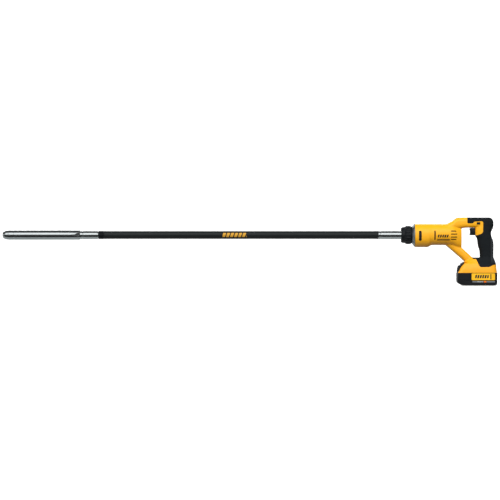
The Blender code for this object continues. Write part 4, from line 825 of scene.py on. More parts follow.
# centre x, centre height, half thickness, half width
strut_rows = [
    (-0.0930, 0.1392, 0.0142, GRIP_HALF - 0.0010),
    (-0.0650, 0.1145, 0.0132, GRIP_HALF - 0.0028),
    (-0.0270, 0.0805, 0.0126, GRIP_HALF - 0.0025),
    (-0.0150, 0.0695, 0.0130, GRIP_HALF + 0.0010),
]
print("sections:", len(barrel_rows + arm_rows + grip_rows + foot_rows + cheek_rows + strut_rows))


# %% More rows between the rows of a table
def between(rows, extra):
    """The rows with more in between, on monotone curves, so that nothing overshoots."""
    slopes = [[b - a for a, b in zip(rows[0], rows[1])]]
    for three_rows in zip(rows, rows[1:], rows[2:]):
        slope = []
        for before, here, after in zip(*three_rows):
            left, right = here - before, after - here
            slope.append(0.0 if left * right <= 0 else 2 * left * right / (left + right))
        slopes.append(slope)
    slopes.append([b - a for a, b in zip(rows[-2], rows[-1])])
    finer = []
    for i in range(len(rows) - 1):
        for step in range(extra):
            t = step / extra
            weights = (2 * t**3 - 3 * t**2 + 1, t**3 - 2 * t**2 + t, 3 * t**2 - 2 * t**3, t**3 - t**2)
            values = zip(rows[i], slopes[i], rows[i + 1], slopes[i + 1])
            finer.append(tuple(sum(w * v for w, v in zip(weights, four)) for four in values))
    return finer + [rows[-1]]


print("a smooth barrel has", len(between(barrel_rows, 5)), "rings")


# %% Rings from the rows
def ring(centre, across, up, half_across, half_up, power, count):
    """A rounded ring: power 2 is an ellipse, and a higher power is squarer."""
    points = []
    for step in range(count):
        angle = math.tau * (step + 0.5) / count
        a = math.copysign(abs(math.cos(angle)) ** (2 / power), math.cos(angle)) * half_across
        b = math.copysign(abs(math.sin(angle)) ** (2 / power), math.sin(angle)) * half_up
        points.append(centre + across * a + up * b)
    return points


X, Y, Z = Vector((1, 0, 0)), Vector((0, 1, 0)), Vector((0, 0, 1))
STRUT_RUN = Vector((0.051, 0.0, -0.0455))


def upright(rows, inset, count, extra):
    for x, middle, tall, wide, power in between(rows, extra):
        yield ring(Vector((x, 0, middle)), Y, Z, wide - inset, tall - inset, power, count)


def level(rows, inset=0.0, count=96, extra=5):
    for height, front, back, wide, power in between(rows, extra):
        middle = Vector(((front + back) / 2, 0, height))
        yield ring(middle, X, Y, (back - front) / 2 - inset, wide - inset, power, count)


def strut_rings(inset, count, extra):
    up = STRUT_RUN.normalized().cross(Y)
    for x, z, thick, wide in between(strut_rows, extra):
        yield ring(Vector((x, 0, z)), Y, up, wide - inset, thick - inset, 2.8, count)


def lofts(barrel, arm, grip, foot, inset, count, extra):
    """The five lofts of the body, as separate closed meshes."""
    return [
        skinned("barrel", upright(barrel, inset, count, extra)),
        skinned("arm", upright(arm, inset, count, extra)),
        skinned("grip", level(grip, inset, count, extra)),
        skinned("foot", level(foot, inset, count, extra)),
        skinned("strut", strut_rings(inset, count, extra)),
    ]


print("a ring of the grip has", len(next(level(grip_rows))), "points")

# %% One smooth skin
VOXEL = 0.0011
SMOOTHING = 10
OVERRUN = 0.008  # the open ends are made too long and cut square afterwards

barrel_long = [(front_x - OVERRUN, *barrel_rows[0][1:])] + barrel_rows
foot_long = foot_rows + [(pack_top - OVERRUN, *foot_rows[-1][1:])]
parts = lofts(barrel_long, arm_rows, grip_rows, foot_long, 0.0, 96, 5)
parts.append(skinned("cheeks", level(cheek_rows)))
form = bmesh.new()
for part in parts:
    form.from_mesh(part.data)
    bpy.data.objects.remove(part)
skin = thing_from(form, "body_skin")
applied(skin, "REMESH", mode="VOXEL", voxel_size=VOXEL)
applied(skin, "SMOOTH", factor=0.5, iterations=SMOOTHING)
carved(skin, "DIFFERENCE", block("front", (-0.25, -PAST_SIDE, 0.05), (front_x, PAST_SIDE, 0.22)))
foot_end = pack_top + 0.0004
carved(skin, "DIFFERENCE", block("below", (-0.10, -PAST_SIDE, -0.01), (0.10, PAST_SIDE, foot_end)))
room_half = HUMP_HALF + 2 * GAP
hump_room = block("hump_room", (-0.080, -room_half, 0.020), (-0.0300, room_half, 0.0700))
carved(hump_room, "DIFFERENCE", skinned("foot", level(foot_long)))
carved(skin, "DIFFERENCE", hump_room)
print("body skin:", len(skin.data.polygons), "faces")

# %% [markdown]
# ## Hollowing and openings
# A moulded housing is a shell of even thickness with screw bosses and rails inside. The hollow is made
# from the same lofts without the cheeks, set in by the wall, less the bosses and rails, and is taken
# out of the skin. Then come the vents, the trigger's and the lock button's openings, the way in for the
# battery, and the holes for the screws, which go in from the right side.

# %% Hollow the skin
housing_screws = []
for number in range(1, 7):
    low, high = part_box(f"housing_screw_{number}")
    housing_screws.append(((low.x + high.x) / 2, (low.z + high.z) / 2))
SCREW_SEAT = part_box("housing_screw_1")[1].y - 0.0026 - GAP


def pin(name, x, z, start, end, radius):
    return slab(name, circle(x, z, radius, 32), start, end)


inner = lofts(
    [(front_x - 0.010, *barrel_rows[0][1:])] + barrel_rows[1:-1]
    + [(barrel_rows[-1][0] - WALL, *barrel_rows[-1][1:])],
    arm_rows[:-1] + [(arm_rows[-1][0] - WALL, *arm_rows[-1][1:])],
    [(grip_rows[0][0] - 0.0002, *grip_rows[0][1:])] + grip_rows[1:],
    [(foot_rows[0][0] - WALL, *foot_rows[0][1:]), (foot_rows[1][0] - WALL * 0.6, *foot_rows[1][1:])]
    + foot_rows[2:] + [(pack_top - 0.010, *foot_rows[-1][1:])],
    WALL,
    40,
    2,
)
hollow = inner[0]
for part in inner[1:]:
    carved(hollow, "UNION", part)
for x, z in housing_screws:
    carved(hollow, "DIFFERENCE", pin("boss", x, z, -0.05, 0.05, 0.0040))
RAIL_NECK, RAIL_FLANGE = 0.0215, 0.0255  # half widths of the pack's rails
FLANGE_LOW, FLANGE_HIGH = 0.0446, 0.0520
for side in (-1, 1):
    near, far = sorted((side * (RAIL_NECK + 0.0007), side * (FOOT_HALF + 0.002)))
    rail = block("rail", (-0.0450, near, pack_top - 0.020), (0.0450, far, FLANGE_LOW - GAP))
    carved(hollow, "DIFFERENCE", rail)
hollow_twin = twin(hollow, "hollow_twin")
carved(skin, "DIFFERENCE", hollow)
print("shell:", len(skin.data.polygons), "faces")

# %% Vents and openings
LOUVRE_HALF = 0.0016
# left, right, low, high, corner radius
vents = [(-0.1752, -0.1668, 0.1340, 0.1645, 0.0040), (-0.1290, -0.1248, 0.1375, 0.1650, 0.0018)]
for height, back in ((0.1635, -0.0625), (0.1545, -0.0600), (0.1455, -0.0600), (0.1390, -0.0625)):
    vents.append((-0.0790, back, height - LOUVRE_HALF, height + LOUVRE_HALF, 0.0012))
for vent in vents:
    carved(skin, "DIFFERENCE", slab("vent", box_outline(*vent), -PAST_SIDE, PAST_SIDE))


def gapped(name, low, high, near, far):
    """A hole for a button: the button's box from the side, wider by the gap all round."""
    return block(name, (low.x - GAP, near, low.z - GAP), (high.x + GAP, far, high.z + GAP))


trigger_low, trigger_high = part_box("trigger")
lock_low, lock_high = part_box("lock_button")
openings = [
    block("trigger_hole", (-0.0230, -0.0088, trigger_low.z - GAP), (0.0040, 0.0088, trigger_high.z + GAP)),
    block("pack_way", (-0.0800, -RAIL_FLANGE - 0.0008, 0.0200), (-0.0390, RAIL_FLANGE + 0.0008, 0.0530)),
    gapped("lock_hole", lock_low, lock_high, -0.04, -0.01),
]
for opening in openings:
    carved(skin, "DIFFERENCE", opening)
for x, z in housing_screws:
    carved(skin, "DIFFERENCE", pin("shank", x, z, -0.0102, SCREW_SEAT + 0.001, 0.0018))
    carved(skin, "DIFFERENCE", pin("recess", x, z, SCREW_SEAT, PAST_SIDE, 0.0034))
print("vents:", len(vents), "and openings:", len(openings))

# %% [markdown]
# ## Splitting into yellow and black halves
# The tool is two clamshell halves, and each half carries a grip moulded over it. One outline, seen from
# the side, says where the black grip ends. Its corners are eased, and the yellow side is cut with the
# same outline grown by a hair, so that a fine joint shows all round, as it does between real mouldings.

# %% Grip outline
grip_outline = [
    (-0.0290, 0.2150),
    (-0.0290, 0.1885),
    (-0.0270, 0.1868),
    (-0.0130, 0.1868),
    (-0.0085, 0.1920),
    (0.0150, 0.1935),
    (0.0185, 0.1900),
    (0.0180, 0.1610),
    (0.0135, 0.1555),
    (0.0010, 0.1510),
    (-0.0140, 0.1495),
    (-0.0140, 0.0805),
    (-0.0030, 0.0800),
    (0.0050, 0.0600),
    (0.0090, 0.0560),
    (0.0350, 0.0560),
    (0.0480, 0.0628),
    (0.0800, 0.0660),
    (0.0800, 0.2150),
]


def grown(outline, amount):
    """The outline moved outwards. Going round it, its inside lies to the left."""
    moved = []
    count = len(outline)
    for i, point in enumerate(outline):
        here = Vector(point)
        before = (here - Vector(outline[i - 1])).normalized()
        after = (Vector(outline[(i + 1) % count]) - here).normalized()
        normal = Vector((before.y + after.y, -before.x - after.x)).normalized()
        stretch = 1 / max(0.4, normal.dot(Vector((before.y, -before.x))))
        moved.append(tuple(here + normal * amount * stretch))
    return moved


soft_outline = eased(grip_outline, 0.0030, 4)
print("grip outline:", len(soft_outline), "points")

# %% Cut the four mouldings
grip_skin = twin(skin, "grip_skin")
carved(grip_skin, "INTERSECT", slab("region", soft_outline, -PAST_SIDE, PAST_SIDE))
carved(skin, "DIFFERENCE", slab("grown", grown(soft_outline, GAP), -PAST_SIDE, PAST_SIDE))
for side, name in ((-1, "left"), (1, "right")):
    near, far = sorted((side * GAP / 2, side * 0.1))
    half = block("half", (-0.3, near, -0.05), (0.1, far, 0.3))
    shell = carved(twin(skin, "shell"), "INTERSECT", half, keep=True)
    cover = carved(twin(grip_skin, "cover"), "INTERSECT", half)
    finished(shell, f"housing_shell_{name}", yellow, f"housing_{name}")
    finished(cover, f"grip_cover_{name}", rubber, f"grip_{name}")
    print(name, "half:", len(shell.data.polygons), "yellow and", len(cover.data.polygons), "black faces")
for part in (skin, grip_skin):
    bpy.data.objects.remove(part)

# %% [markdown]
# ## A liner behind the joint
# The body is hollow, so light that comes in through the fine joint between yellow and black on one side
# can leave through the joint on the other, and shows as a thin white line. A dark band behind the joint,
# in the tool's mid plane, takes most of that light away. It is cut to the hollow, so that it changes no
# outer surface, and it leaves the trigger its room.

# %% Dark band behind the joint
LINER_REACH = 0.0022
band = slab("band", grown(soft_outline, LINER_REACH), -0.0005, 0.0005)
carved(band, "DIFFERENCE", slab("middle", grown(soft_outline, -LINER_REACH), -0.01, 0.01))
carved(band, "DIFFERENCE", block("trigger_way", (-0.030, -0.010, 0.1480), (0.0160, 0.010, 0.1800)))
liner = carved(hollow_twin, "INTERSECT", band)
finished(liner, "joint_liner", inner_black, "housing_left", replace=False)
print("joint liner:", len(liner.data.polygons), "faces")

# %% [markdown]
# ## Housing screws
# Six screws close the housing from the right side. They sit at the bottom of round recesses, each with
# a rounded head and a six-sided socket, made by the same function as the screws of the cast nose.

# %% Six screws
for number, (x, z) in enumerate(housing_screws, start=1):
    spot = Vector((x, 0.0, z))
    socket_screw(f"case_screw_{number}", f"housing_screw_{number}", SCREW_SEAT + GAP, "y", spot, 0.0024)
print("housing screws:", len(housing_screws))

# %% [markdown]
# ## Dark sheets behind the vents, and the panel on the barrel
# Dark sheets stand just inside the vents: painted shade that keeps the vents dark. A sheet, like a stuck-on
# panel, has to follow a curved wall. Both are made as the thin space between two lofts of the same table,
# one set in more than the other, cut to an outline seen from the side. The panel carries plain bars and no
# lettering.


# %% Thin pieces that follow a wall
def between_lofts(name, outer, inner, outline):
    """What lies between two closed lofts, inside an outline and on both sides of the machine."""
    carved(outer, "DIFFERENCE", inner)
    return carved(outer, "INTERSECT", slab("outline", outline, -0.08, 0.08))


def barrel_loft(inset):
    rows = [(front_x - 0.002, *barrel_rows[0][1:])] + barrel_rows[1:]
    return skinned("barrel", upright(rows, inset, 128, 6))


# left, right, low, high
shade_sheet_spots = [
    (-0.1790, -0.1630, 0.1300, 0.1680),
    (-0.1320, -0.1215, 0.1340, 0.1685),
    (-0.0830, -0.0570, 0.1345, 0.1675),
]
# Painted shade: a dark sheet just behind each vent.
for number, (left, right, low, high) in enumerate(shade_sheet_spots, start=1):
    outline = box_outline(left, right, low, high, 0.002)
    shade_sheet = between_lofts("shade_sheet", barrel_loft(WALL + 0.0004), barrel_loft(WALL + 0.0012), outline)
    finished(shade_sheet, f"vent_shade_sheet_{number}", inner_black, "housing_left", replace=False)
print("screens:", len(shade_sheet_spots))

# %% Panel on the motor barrel
PANEL = (-0.1205, -0.0820, 0.1350, 0.1560)
panel_finish = Finish("barrel panel", YELLOW, 0.34)
across, up = panel_finish.along("X"), panel_finish.along("Z")
low_bar = (up > 0.1358) * (up < 0.1392)
slant = (across - up * 0.3) % 0.0068 < 0.0046
marks = slant * (up > 0.1442) * (up < 0.1528) * (across > -0.1185) * (across < -0.0845)
hairline = (up > 0.1412) * (up < 0.1420)
rub = panel_finish.noise(50.0, 3.0)
INK = (0.012, 0.011, 0.010)
inked = panel_finish.blend(low_bar + marks + hairline * 0.7, YELLOW, INK)
panel_finish.set(Base_Color=inked, Roughness=0.30 + rub * 0.12).bump(low_bar + marks, 0.00004)
panel = between_lofts("panel", barrel_loft(-0.0003), barrel_loft(0.0012), box_outline(*PANEL, 0.002))
finished(panel, "barrel_panel", panel_finish, "housing_left", replace=False)
print("panel on both sides of the barrel")

# %% [markdown]
# ## Trigger, lock button and their springs
# The trigger's front is hollowed for a finger, so its outline is a smooth curve, and its sides are
# rounded with a wide bevel. The lock button beside it has three small ridges. Springs are swept wires.

# %% Trigger
t_low, t_high = trigger_low, trigger_high
trigger_outline = [
    (t_low.x + 0.0035, t_high.z),
    (t_low.x + 0.0004, t_high.z - 0.0022),
    (t_low.x + 0.0016, t_high.z - 0.0080),
    (t_low.x + 0.0026, t_high.z - 0.0125),
    (t_low.x + 0.0018, t_low.z + 0.0050),
    (t_low.x + 0.0002, t_low.z + 0.0018),
    (t_low.x + 0.0025, t_low.z),
    (t_high.x, t_low.z),
    (t_high.x, t_high.z),
]
smooth_outline = eased(eased(trigger_outline, 0.0020, 3), 0.0006, 1)
trigger = slab("trigger", smooth_outline, t_low.y, t_high.y, 0.0022)
middle_z = (t_low.z + t_high.z) / 2
floor_x, mouth_x = t_high.x - 0.0060, t_high.x + 0.001
pocket = [(floor_x, 0.0), (floor_x, 0.0038), (mouth_x, 0.0038), (mouth_x, 0.0)]
carved(trigger, "DIFFERENCE", spun("pocket", pocket, 40, (0.0, middle_z)))
finished(trigger, "trigger_lever", control_black, "trigger")
print("trigger", round(1000 * (t_high.z - t_low.z), 1), "mm tall")

# %% Lock button with ridges
lock_outline = [
    (lock_low.x, lock_low.z),
    (lock_high.x, lock_low.z),
    (lock_high.x, lock_high.z),
    (lock_low.x, lock_high.z),
]
lock = slab("lock", eased(lock_outline, 0.0012), lock_low.y + 0.0005, lock_high.y, 0.0006)
for k in (-1, 0, 1):
    x = (lock_low.x + lock_high.x) / 2 + 0.0024 * k
    carved(lock, "UNION", block("ridge", (x - 0.0005, lock_low.y, lock_low.z + 0.0012),
                                (x + 0.0005, lock_low.y + 0.002, lock_high.z - 0.0012)))
finished(lock, "lock_button_cap", control_black, "lock_button")
print("lock button with 3 ridges")


# %% Springs
CLOSED_END = 0.12  # the share of the wire that lies flat at each end
TURN_POINTS = 28


def spring(name, node, axis, turns):
    """A coil in its CAD node's box, closed at both ends."""
    low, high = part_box(node)
    middle = (low + high) / 2
    reach = [(high[k] - low[k]) / 2 for k in range(3)]
    along = "xyz".index(axis)
    side, other = [k for k in range(3) if k != along]
    wire = 0.00040 if axis == "x" else 0.00032
    radius = min(reach[side], reach[other]) - wire
    curve = bpy.data.curves.new(name, "CURVE")
    curve.dimensions = "3D"
    curve.bevel_depth = wire
    curve.bevel_resolution = 3
    curve.use_fill_caps = True
    spline = curve.splines.new("POLY")
    length = high[along] - low[along]
    count = turns * TURN_POINTS
    spline.points.add(count)
    for k in range(count + 1):
        share = k / count
        risen = min(1.0, max(0.0, (share - CLOSED_END) / (1 - 2 * CLOSED_END)))
        angle = math.tau * turns * share
        point = [0.0, 0.0, 0.0]
        point[along] = low[along] + wire + (length - 2 * wire) * risen
        point[side] = middle[side] + radius * math.cos(angle)
        point[other] = middle[other] + radius * math.sin(angle)
        spline.points[k].co = (*point, 1.0)
    coil = bpy.data.objects.new(name, curve)
    bpy.context.scene.collection.objects.link(coil)
    mesh = bpy.data.meshes.new_from_object(coil.evaluated_get(bpy.context.evaluated_depsgraph_get()))
    bpy.data.objects.remove(coil)
    made = bpy.data.objects.new(name, mesh)
    bpy.context.scene.collection.objects.link(made)
    finished(made, name, bright_steel, node)
    fixed = list(middle)
    fixed[along] = low[along] if axis == "z" else high[along]
    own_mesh(made)


spring("trigger_return_spring", "trigger_spring", "x", 7)
spring("lock_return_spring", "lock_spring", "y", 6)
spring("latch_return_spring", "latch_spring", "z", 7)
print("springs: 3")

# %% [markdown]
# ## Battery pack
# The pack is two black mouldings, a tray and a cover, with a thin joint between them. A lip on the tray
# stands behind the joint, to keep light from passing through it. The cover carries the rails that slide
# into the foot, a hump that hugs the foot's front, and the release button in the hump. The corners are
# lofted from squarish rings, as in CAD, but with many more points.

# %% Tray
tray_low, tray_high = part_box("battery_tray")
pack_half = (tray_high.x - tray_low.x) / 2 - 0.0001
pack_wide = tray_high.y - 0.0002
seam = 0.0155
PACK_WALL = 0.0020


def straight(low, high):
    """Two rows of the pack's full size, for a wall that goes straight up."""
    return [(height, -pack_half, pack_half, pack_wide) for height in (low, high)]


def pack_loft(name, rows, inset=0.0):
    rings = []
    for height, front, back, wide in between(rows, 3):
        middle = Vector(((front + back) / 2, 0, height))
        rings.append(ring(middle, X, Y, (back - front) / 2 - inset, wide - inset, 7.0, 112))
    return skinned(name, rings)


# height, front x, back x, half width
tray_rows = [
    (0.0000, -pack_half + 0.0165, pack_half - 0.0070, pack_wide - 0.0040),
    (0.0015, -pack_half + 0.0150, pack_half - 0.0035, pack_wide - 0.0020),
    (0.0060, -pack_half + 0.0070, pack_half - 0.0005, pack_wide),
    (0.0110, -pack_half + 0.0010, pack_half, pack_wide),
    (0.0140, -pack_half, pack_half, pack_wide),
    (seam - 0.0008, -pack_half, pack_half, pack_wide),
    (seam - GAP / 2, -pack_half + 0.0006, pack_half - 0.0006, pack_wide - 0.0006),
]
tray = pack_loft("tray", tray_rows)
tray_inside = [(PACK_WALL, -pack_half + 0.0165, pack_half - 0.0045, pack_wide - 0.0010)]
tray_inside += tray_rows[2:-2] + [(seam + 0.001, -pack_half, pack_half, pack_wide)]
carved(tray, "DIFFERENCE", pack_loft("inside", tray_inside, PACK_WALL))
gauge_low, gauge_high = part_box("gauge_button")
carved(tray, "DIFFERENCE", gapped("window", gauge_low, gauge_high, -PAST_SIDE, -0.03))
STRIP = (-0.0160, 0.0520, 0.0100, 0.0142)
groove = slab("groove", box_outline(*STRIP, 0.0015), -PAST_SIDE, -pack_wide + 0.0006)
carved(tray, "DIFFERENCE", groove)
lip = pack_loft("lip", straight(seam - 0.0020, seam + 0.0018), 0.0019)
carved(lip, "DIFFERENCE", pack_loft("lip_inside", straight(seam - 0.0030, seam + 0.0030), 0.0024))
carved(tray, "UNION", lip)
finished(tray, "pack_tray", case_black, "battery_tray")
print("tray", round(2000 * pack_half), "x", round(2000 * pack_wide), "mm")

# %% Hump of the cover
# height, front x, back x, half width, squareness
hump_rows = [
    (0.0360, -0.0600, 0.0, HUMP_HALF, 3.4),
    (0.0470, -0.0600, 0.0, HUMP_HALF, 3.4),
    (0.0540, -0.0584, 0.0, HUMP_HALF, 3.2),
    (0.0590, -0.0562, 0.0, HUMP_HALF - 0.0020, 3.0),
    (0.0650, -0.0512, 0.0, HUMP_HALF - 0.0060, 2.8),
    (0.0695, -0.0452, 0.0, HUMP_HALF - 0.0110, 2.6),
    (0.0715, -0.0420, 0.0, HUMP_HALF - 0.0140, 2.6),
]
foot_deep = foot_rows + [(pack_top - 0.010, *foot_rows[-1][1:])]
hump = skinned("hump", level(hump_rows))
carved(hump, "DIFFERENCE", skinned("foot", level(foot_deep, -2 * GAP)))
plug_low, plug_high = (-0.0582, -RAIL_FLANGE, 0.0362), (-0.0456, RAIL_FLANGE, FLANGE_HIGH)
carved(hump, "UNION", block("plug", plug_low, plug_high, 0.0030))
print("hump:", len(hump.data.polygons), "faces")

# %% Cover with rails
cover_rows = [
    (seam + GAP / 2, -pack_half + 0.0006, pack_half - 0.0006, pack_wide - 0.0006),
    (seam + 0.0010, -pack_half, pack_half, pack_wide),
    (0.0300, -pack_half, pack_half, pack_wide),
    (pack_top - 0.0008, -pack_half, pack_half, pack_wide),
    (pack_top, -pack_half + 0.0006, pack_half - 0.0006, pack_wide - 0.0006),
]
cover = pack_loft("cover", cover_rows)
carved(cover, "UNION", block("neck", (-0.0450, -RAIL_NECK, 0.0300), (0.0470, RAIL_NECK, 0.0510)))
flange_low, flange_high = (-0.0450, -RAIL_FLANGE, FLANGE_LOW), (0.0470, RAIL_FLANGE, FLANGE_HIGH)
carved(cover, "UNION", block("flange", flange_low, flange_high, 0.0004))
carved(cover, "UNION", hump)
carved(cover, "DIFFERENCE", pack_loft("inside", straight(seam - 0.001, pack_top - 0.0015), PACK_WALL))
rail_room = block("rail_room", (-0.0425, -0.0190, pack_top - 0.004), (0.0370, 0.0190, 0.0495))
carved(cover, "DIFFERENCE", rail_room)
SLOT_PITCH, SLOT_HALF = 0.0080, 0.00115
for k in range(4):
    y = (k - 1.5) * SLOT_PITCH
    slot = block("slot", (0.0215, y - SLOT_HALF, 0.0450), (0.0480, y + SLOT_HALF, 0.0530))
    carved(cover, "DIFFERENCE", slot)
r_low, r_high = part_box("release_button")
pocket_low = (r_low.x - GAP - 0.010, r_low.y - GAP, r_low.z - 0.0050)
pocket_high = (r_high.x + GAP, r_high.y + GAP, r_high.z + 0.020)
carved(cover, "DIFFERENCE", block("pocket", pocket_low, pocket_high))
spring_room = block("spring_room", (r_low.x, -0.0045, r_low.z - 0.0130), (r_high.x, 0.0045, r_low.z))
carved(cover, "DIFFERENCE", spring_room)
finished(cover, "pack_cover", case_black, "battery_cover", crease=38.0)
print("cover:", len(cover.data.polygons), "faces")

# %% Release button and gauge button
release_outline = [
    (r_low.x, r_low.z),
    (r_low.x + 0.0022, r_low.z + 0.0085),
    (r_low.x + 0.0048, r_high.z),
    (r_high.x, r_high.z),
    (r_high.x, r_low.z),
]
release = slab("release", eased(release_outline, 0.0009), r_low.y, r_high.y, 0.0007)
for k in range(3):
    z = r_low.z + 0.0022 + 0.0024 * k
    x = r_low.x + 0.0022 * (z - r_low.z) / 0.0085 - 0.0004
    carved(release, "DIFFERENCE", block("line", (x - 0.002, -0.0120, z), (x + 0.0011, 0.0120, z + 0.0009)))
finished(release, "release_key", control_black, "release_button")

gauge_outline = box_outline(gauge_low.x, gauge_high.x, gauge_low.z, gauge_high.z, 0.0016)
gauge = slab("gauge", gauge_outline, gauge_low.y, gauge_high.y, 0.0005)
finished(gauge, "gauge_key", button_red, "gauge_button")
print("release button and gauge button")

# %% [markdown]
# ## Panels on the battery
# A yellow panel covers most of the pack's side, and a grey strip with charge lights runs below it, where
# the gauge button sits. Both follow the slightly curved wall, so they are cut from thin lofts like the
# panel on the barrel. The yellow panel has a row of slanted bars and one upright bar: a plain pattern.

# %% Yellow side panel
SIDE_PANEL = (-0.0180, 0.0520, 0.0170, 0.0372)
PANEL_YELLOW = (0.93, 0.50, 0.006)
side_finish = Finish("battery panel", PANEL_YELLOW, 0.36)
across, up = side_finish.along("X"), side_finish.along("Z")
slant = (across - up * 0.25) % 0.0072 < 0.0049
marks = slant * (up > 0.0225) * (up < 0.0325) * (across > -0.0075) * (across < 0.0330)
upright_bar = (across > 0.0380) * (across < 0.0410) * (up > 0.0190) * (up < 0.0355)
rub = side_finish.noise(50.0, 3.0)
inked = side_finish.blend(marks + upright_bar, PANEL_YELLOW, (0.012, 0.012, 0.012))
side_finish.set(Base_Color=inked, Roughness=0.32 + rub * 0.12).bump(marks + upright_bar, 0.00004)

side_wall = straight(0.012, pack_top)
outer, inner = pack_loft("outer", side_wall, -0.00015), pack_loft("inner", side_wall, 0.0006)
side = between_lofts("side", outer, inner, box_outline(*SIDE_PANEL, 0.0022))
finished(side, "battery_side_panel", side_finish, "battery_cover", replace=False)
print("battery panel on both sides")

# %% Gauge strip
strip_finish = Finish("gauge strip", (0.16, 0.165, 0.17), 0.45)
across, up = strip_finish.along("X"), strip_finish.along("Z")
lamps = (across % 0.0060 < 0.0024) * (across > 0.0000) * (across < 0.0165) * (up > 0.0113) * (up < 0.0130)
shade = strip_finish.noise(80.0, 3.0)
strip_base = strip_finish.blend(shade * 0.5, (0.15, 0.155, 0.16), (0.22, 0.225, 0.23))
strip_finish.set(Base_Color=strip_finish.blend(lamps, strip_base, (0.75, 0.76, 0.72)))
strip_finish.set(Roughness=0.36 + shade * 0.2 - lamps * 0.15).bump(shade, 0.00003)
left, right, low, high = STRIP
strip_outline = box_outline(left + GAP, right - GAP, low + GAP, high - GAP, 0.0013)
strip = slab("strip", strip_outline, -pack_wide - 0.0002, -pack_wide + 0.0005)
room_low, room_high = (gauge_low.x - 0.0007, -PAST_SIDE, 0.0), (gauge_high.x + 0.0007, 0.0, 0.02)
carved(strip, "DIFFERENCE", block("button_room", room_low, room_high))
finished(strip, "gauge_strip", strip_finish, "battery_tray", replace=False)
print("gauge strip")

# %% [markdown]
# ## Floor, light and background
# The tool stands on a plain pale floor that curves up all round into a low wall, so that it looks the same
# from every side. The paper glows a little, so that it stays white to its far corners, and it gives the
# tool no light of its own, so undersides stay dark.
# Large soft lights stand in front and behind. Dark cards stand in front of the tool and behind it, lie
# before it and hang over it, and a grey one lies under it. They are seen only in reflections: polished
# steel shows its shape by what it mirrors, and black plastic looks black only where it mirrors something
# dark.

# %% Floor that curves up all round
FLOOR_RADIUS, WALL_HEIGHT, CURVE = 13.0, 4.5, 2.0
FLOOR_STEPS, CURVE_STEPS, TURN_STEPS = 6, 16, 96
profile = [(0.01, 0.0)]
profile += [(FLOOR_RADIUS * step / FLOOR_STEPS, 0.0) for step in range(1, FLOOR_STEPS + 1)]
for step in range(1, CURVE_STEPS + 1):
    angle = math.radians(90) * step / CURVE_STEPS
    profile.append((FLOOR_RADIUS + CURVE * math.sin(angle), CURVE - CURVE * math.cos(angle)))
profile.append((FLOOR_RADIUS + CURVE, WALL_HEIGHT))
form = bmesh.new()
turns = [math.tau * k / TURN_STEPS for k in range(TURN_STEPS)]
loops = [[form.verts.new((r * math.cos(a), r * math.sin(a), z)) for a in turns] for r, z in profile]
for near, far in zip(loops, loops[1:]):
    for k in range(TURN_STEPS):
        form.faces.new((near[k], near[k - 1], far[k - 1], far[k]))
form.faces.new(loops[0])
sweep = thing_from(form, "floor_bowl")
sweep.data.shade_smooth()
PAPER_WHITE = (0.92, 0.92, 0.92)
paper = Finish("studio paper", PAPER_WHITE, 0.85)
fibre = paper.noise(3.0, 2.0)
paper.set(Base_Color=paper.blend(fibre, PAPER_WHITE, (0.93, 0.93, 0.93)))
paper.shader.inputs["Emission Color"].default_value = (1.0, 1.0, 1.0, 1.0)
paper.shader.inputs["Emission Strength"].default_value = 0.60
sweep.data.materials.append(paper.material)
sweep.visible_diffuse = False
print("floor", 2 * FLOOR_RADIUS, "m across")

# %% Lights and world
TOOL_MIDDLE = Vector((-0.7, 0.0, 0.13))


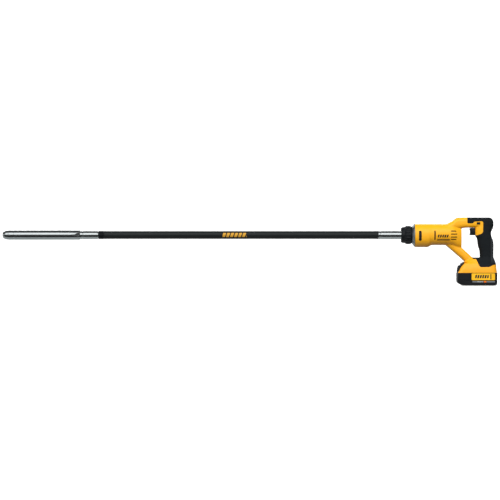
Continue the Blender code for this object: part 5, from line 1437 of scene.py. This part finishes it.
def soft_light(name, spot, size, power):
    """A rectangular lamp aimed at the tool. It is left out of the picture itself."""
    data = bpy.data.lights.new(name, "AREA")
    data.shape = "RECTANGLE"
    data.size, data.size_y = size
    data.energy = power
    lamp = bpy.data.objects.new(name, data)
    lamp.location = spot
    lamp.rotation_euler = (TOOL_MIDDLE - Vector(spot)).to_track_quat("-Z", "Y").to_euler()
    lamp.visible_camera = False
    bpy.context.scene.collection.objects.link(lamp)


soft_light("front_light", (-0.7, -2.6, 1.9), (6.0, 2.3), 88.0)
soft_light("back_light", (-0.7, 3.2, 1.9), (5.0, 1.6), 105.0)
sun = bpy.data.lights.new("sky_light", "SUN")
sun.energy = 2.2
sun.angle = math.radians(50)
sky_light = bpy.data.objects.new("sky_light", sun)
sky_light.rotation_euler = (math.radians(40), math.radians(-8), 0.0)
sky_light.visible_glossy = False
bpy.context.scene.collection.objects.link(sky_light)

world = bpy.data.worlds.new("pale room")
world.use_nodes = True
world.node_tree.nodes["Background"].inputs["Color"].default_value = (1.0, 1.0, 1.0, 1.0)
world.node_tree.nodes["Background"].inputs["Strength"].default_value = 0.22
bpy.context.scene.world = world
bpy.context.scene.view_settings.view_transform = "Standard"
print("lights: 2 lamps and a soft sky light")

# %% Dark cards
CARD_REACH = 8.0
CARD_HEIGHT = 0.004  # of a card that lies on the floor


def card_colour(name, colour, grain):
    made = Finish(name, colour, 0.9)
    return made.set(Roughness=0.85 + made.noise(grain, 2.0) * 0.1)


black_card = card_colour("dark card", (0.01, 0.01, 0.01), 40.0)
grey_card = card_colour("grey card", (0.45, 0.47, 0.47), 60.0)


def card(name, near, far, finish=black_card):
    """A wide card along X between two lines, each given by its Y and Z. Only reflections show it."""
    form = bmesh.new()
    corners = [(-CARD_REACH, *near), (CARD_REACH, *near), (CARD_REACH, *far), (-CARD_REACH, *far)]
    form.faces.new([form.verts.new(corner) for corner in corners])
    made = thing_from(form, name)
    made.data.materials.append(finish.material)
    made.visible_camera = False
    made.visible_diffuse = False
    made.visible_shadow = False


card("card_front", (-4.0, -0.6), (-4.0, 0.5))
card("card_low", (-4.0, CARD_HEIGHT), (-0.10, CARD_HEIGHT))
card("card_top", (0.3, 2.6), (4.4, 2.2))
card("card_back", (4.4, 0.35), (4.4, 2.2))
card("card_under", (-0.10, CARD_HEIGHT), (3.0, CARD_HEIGHT), grey_card)
print("cards: 5")
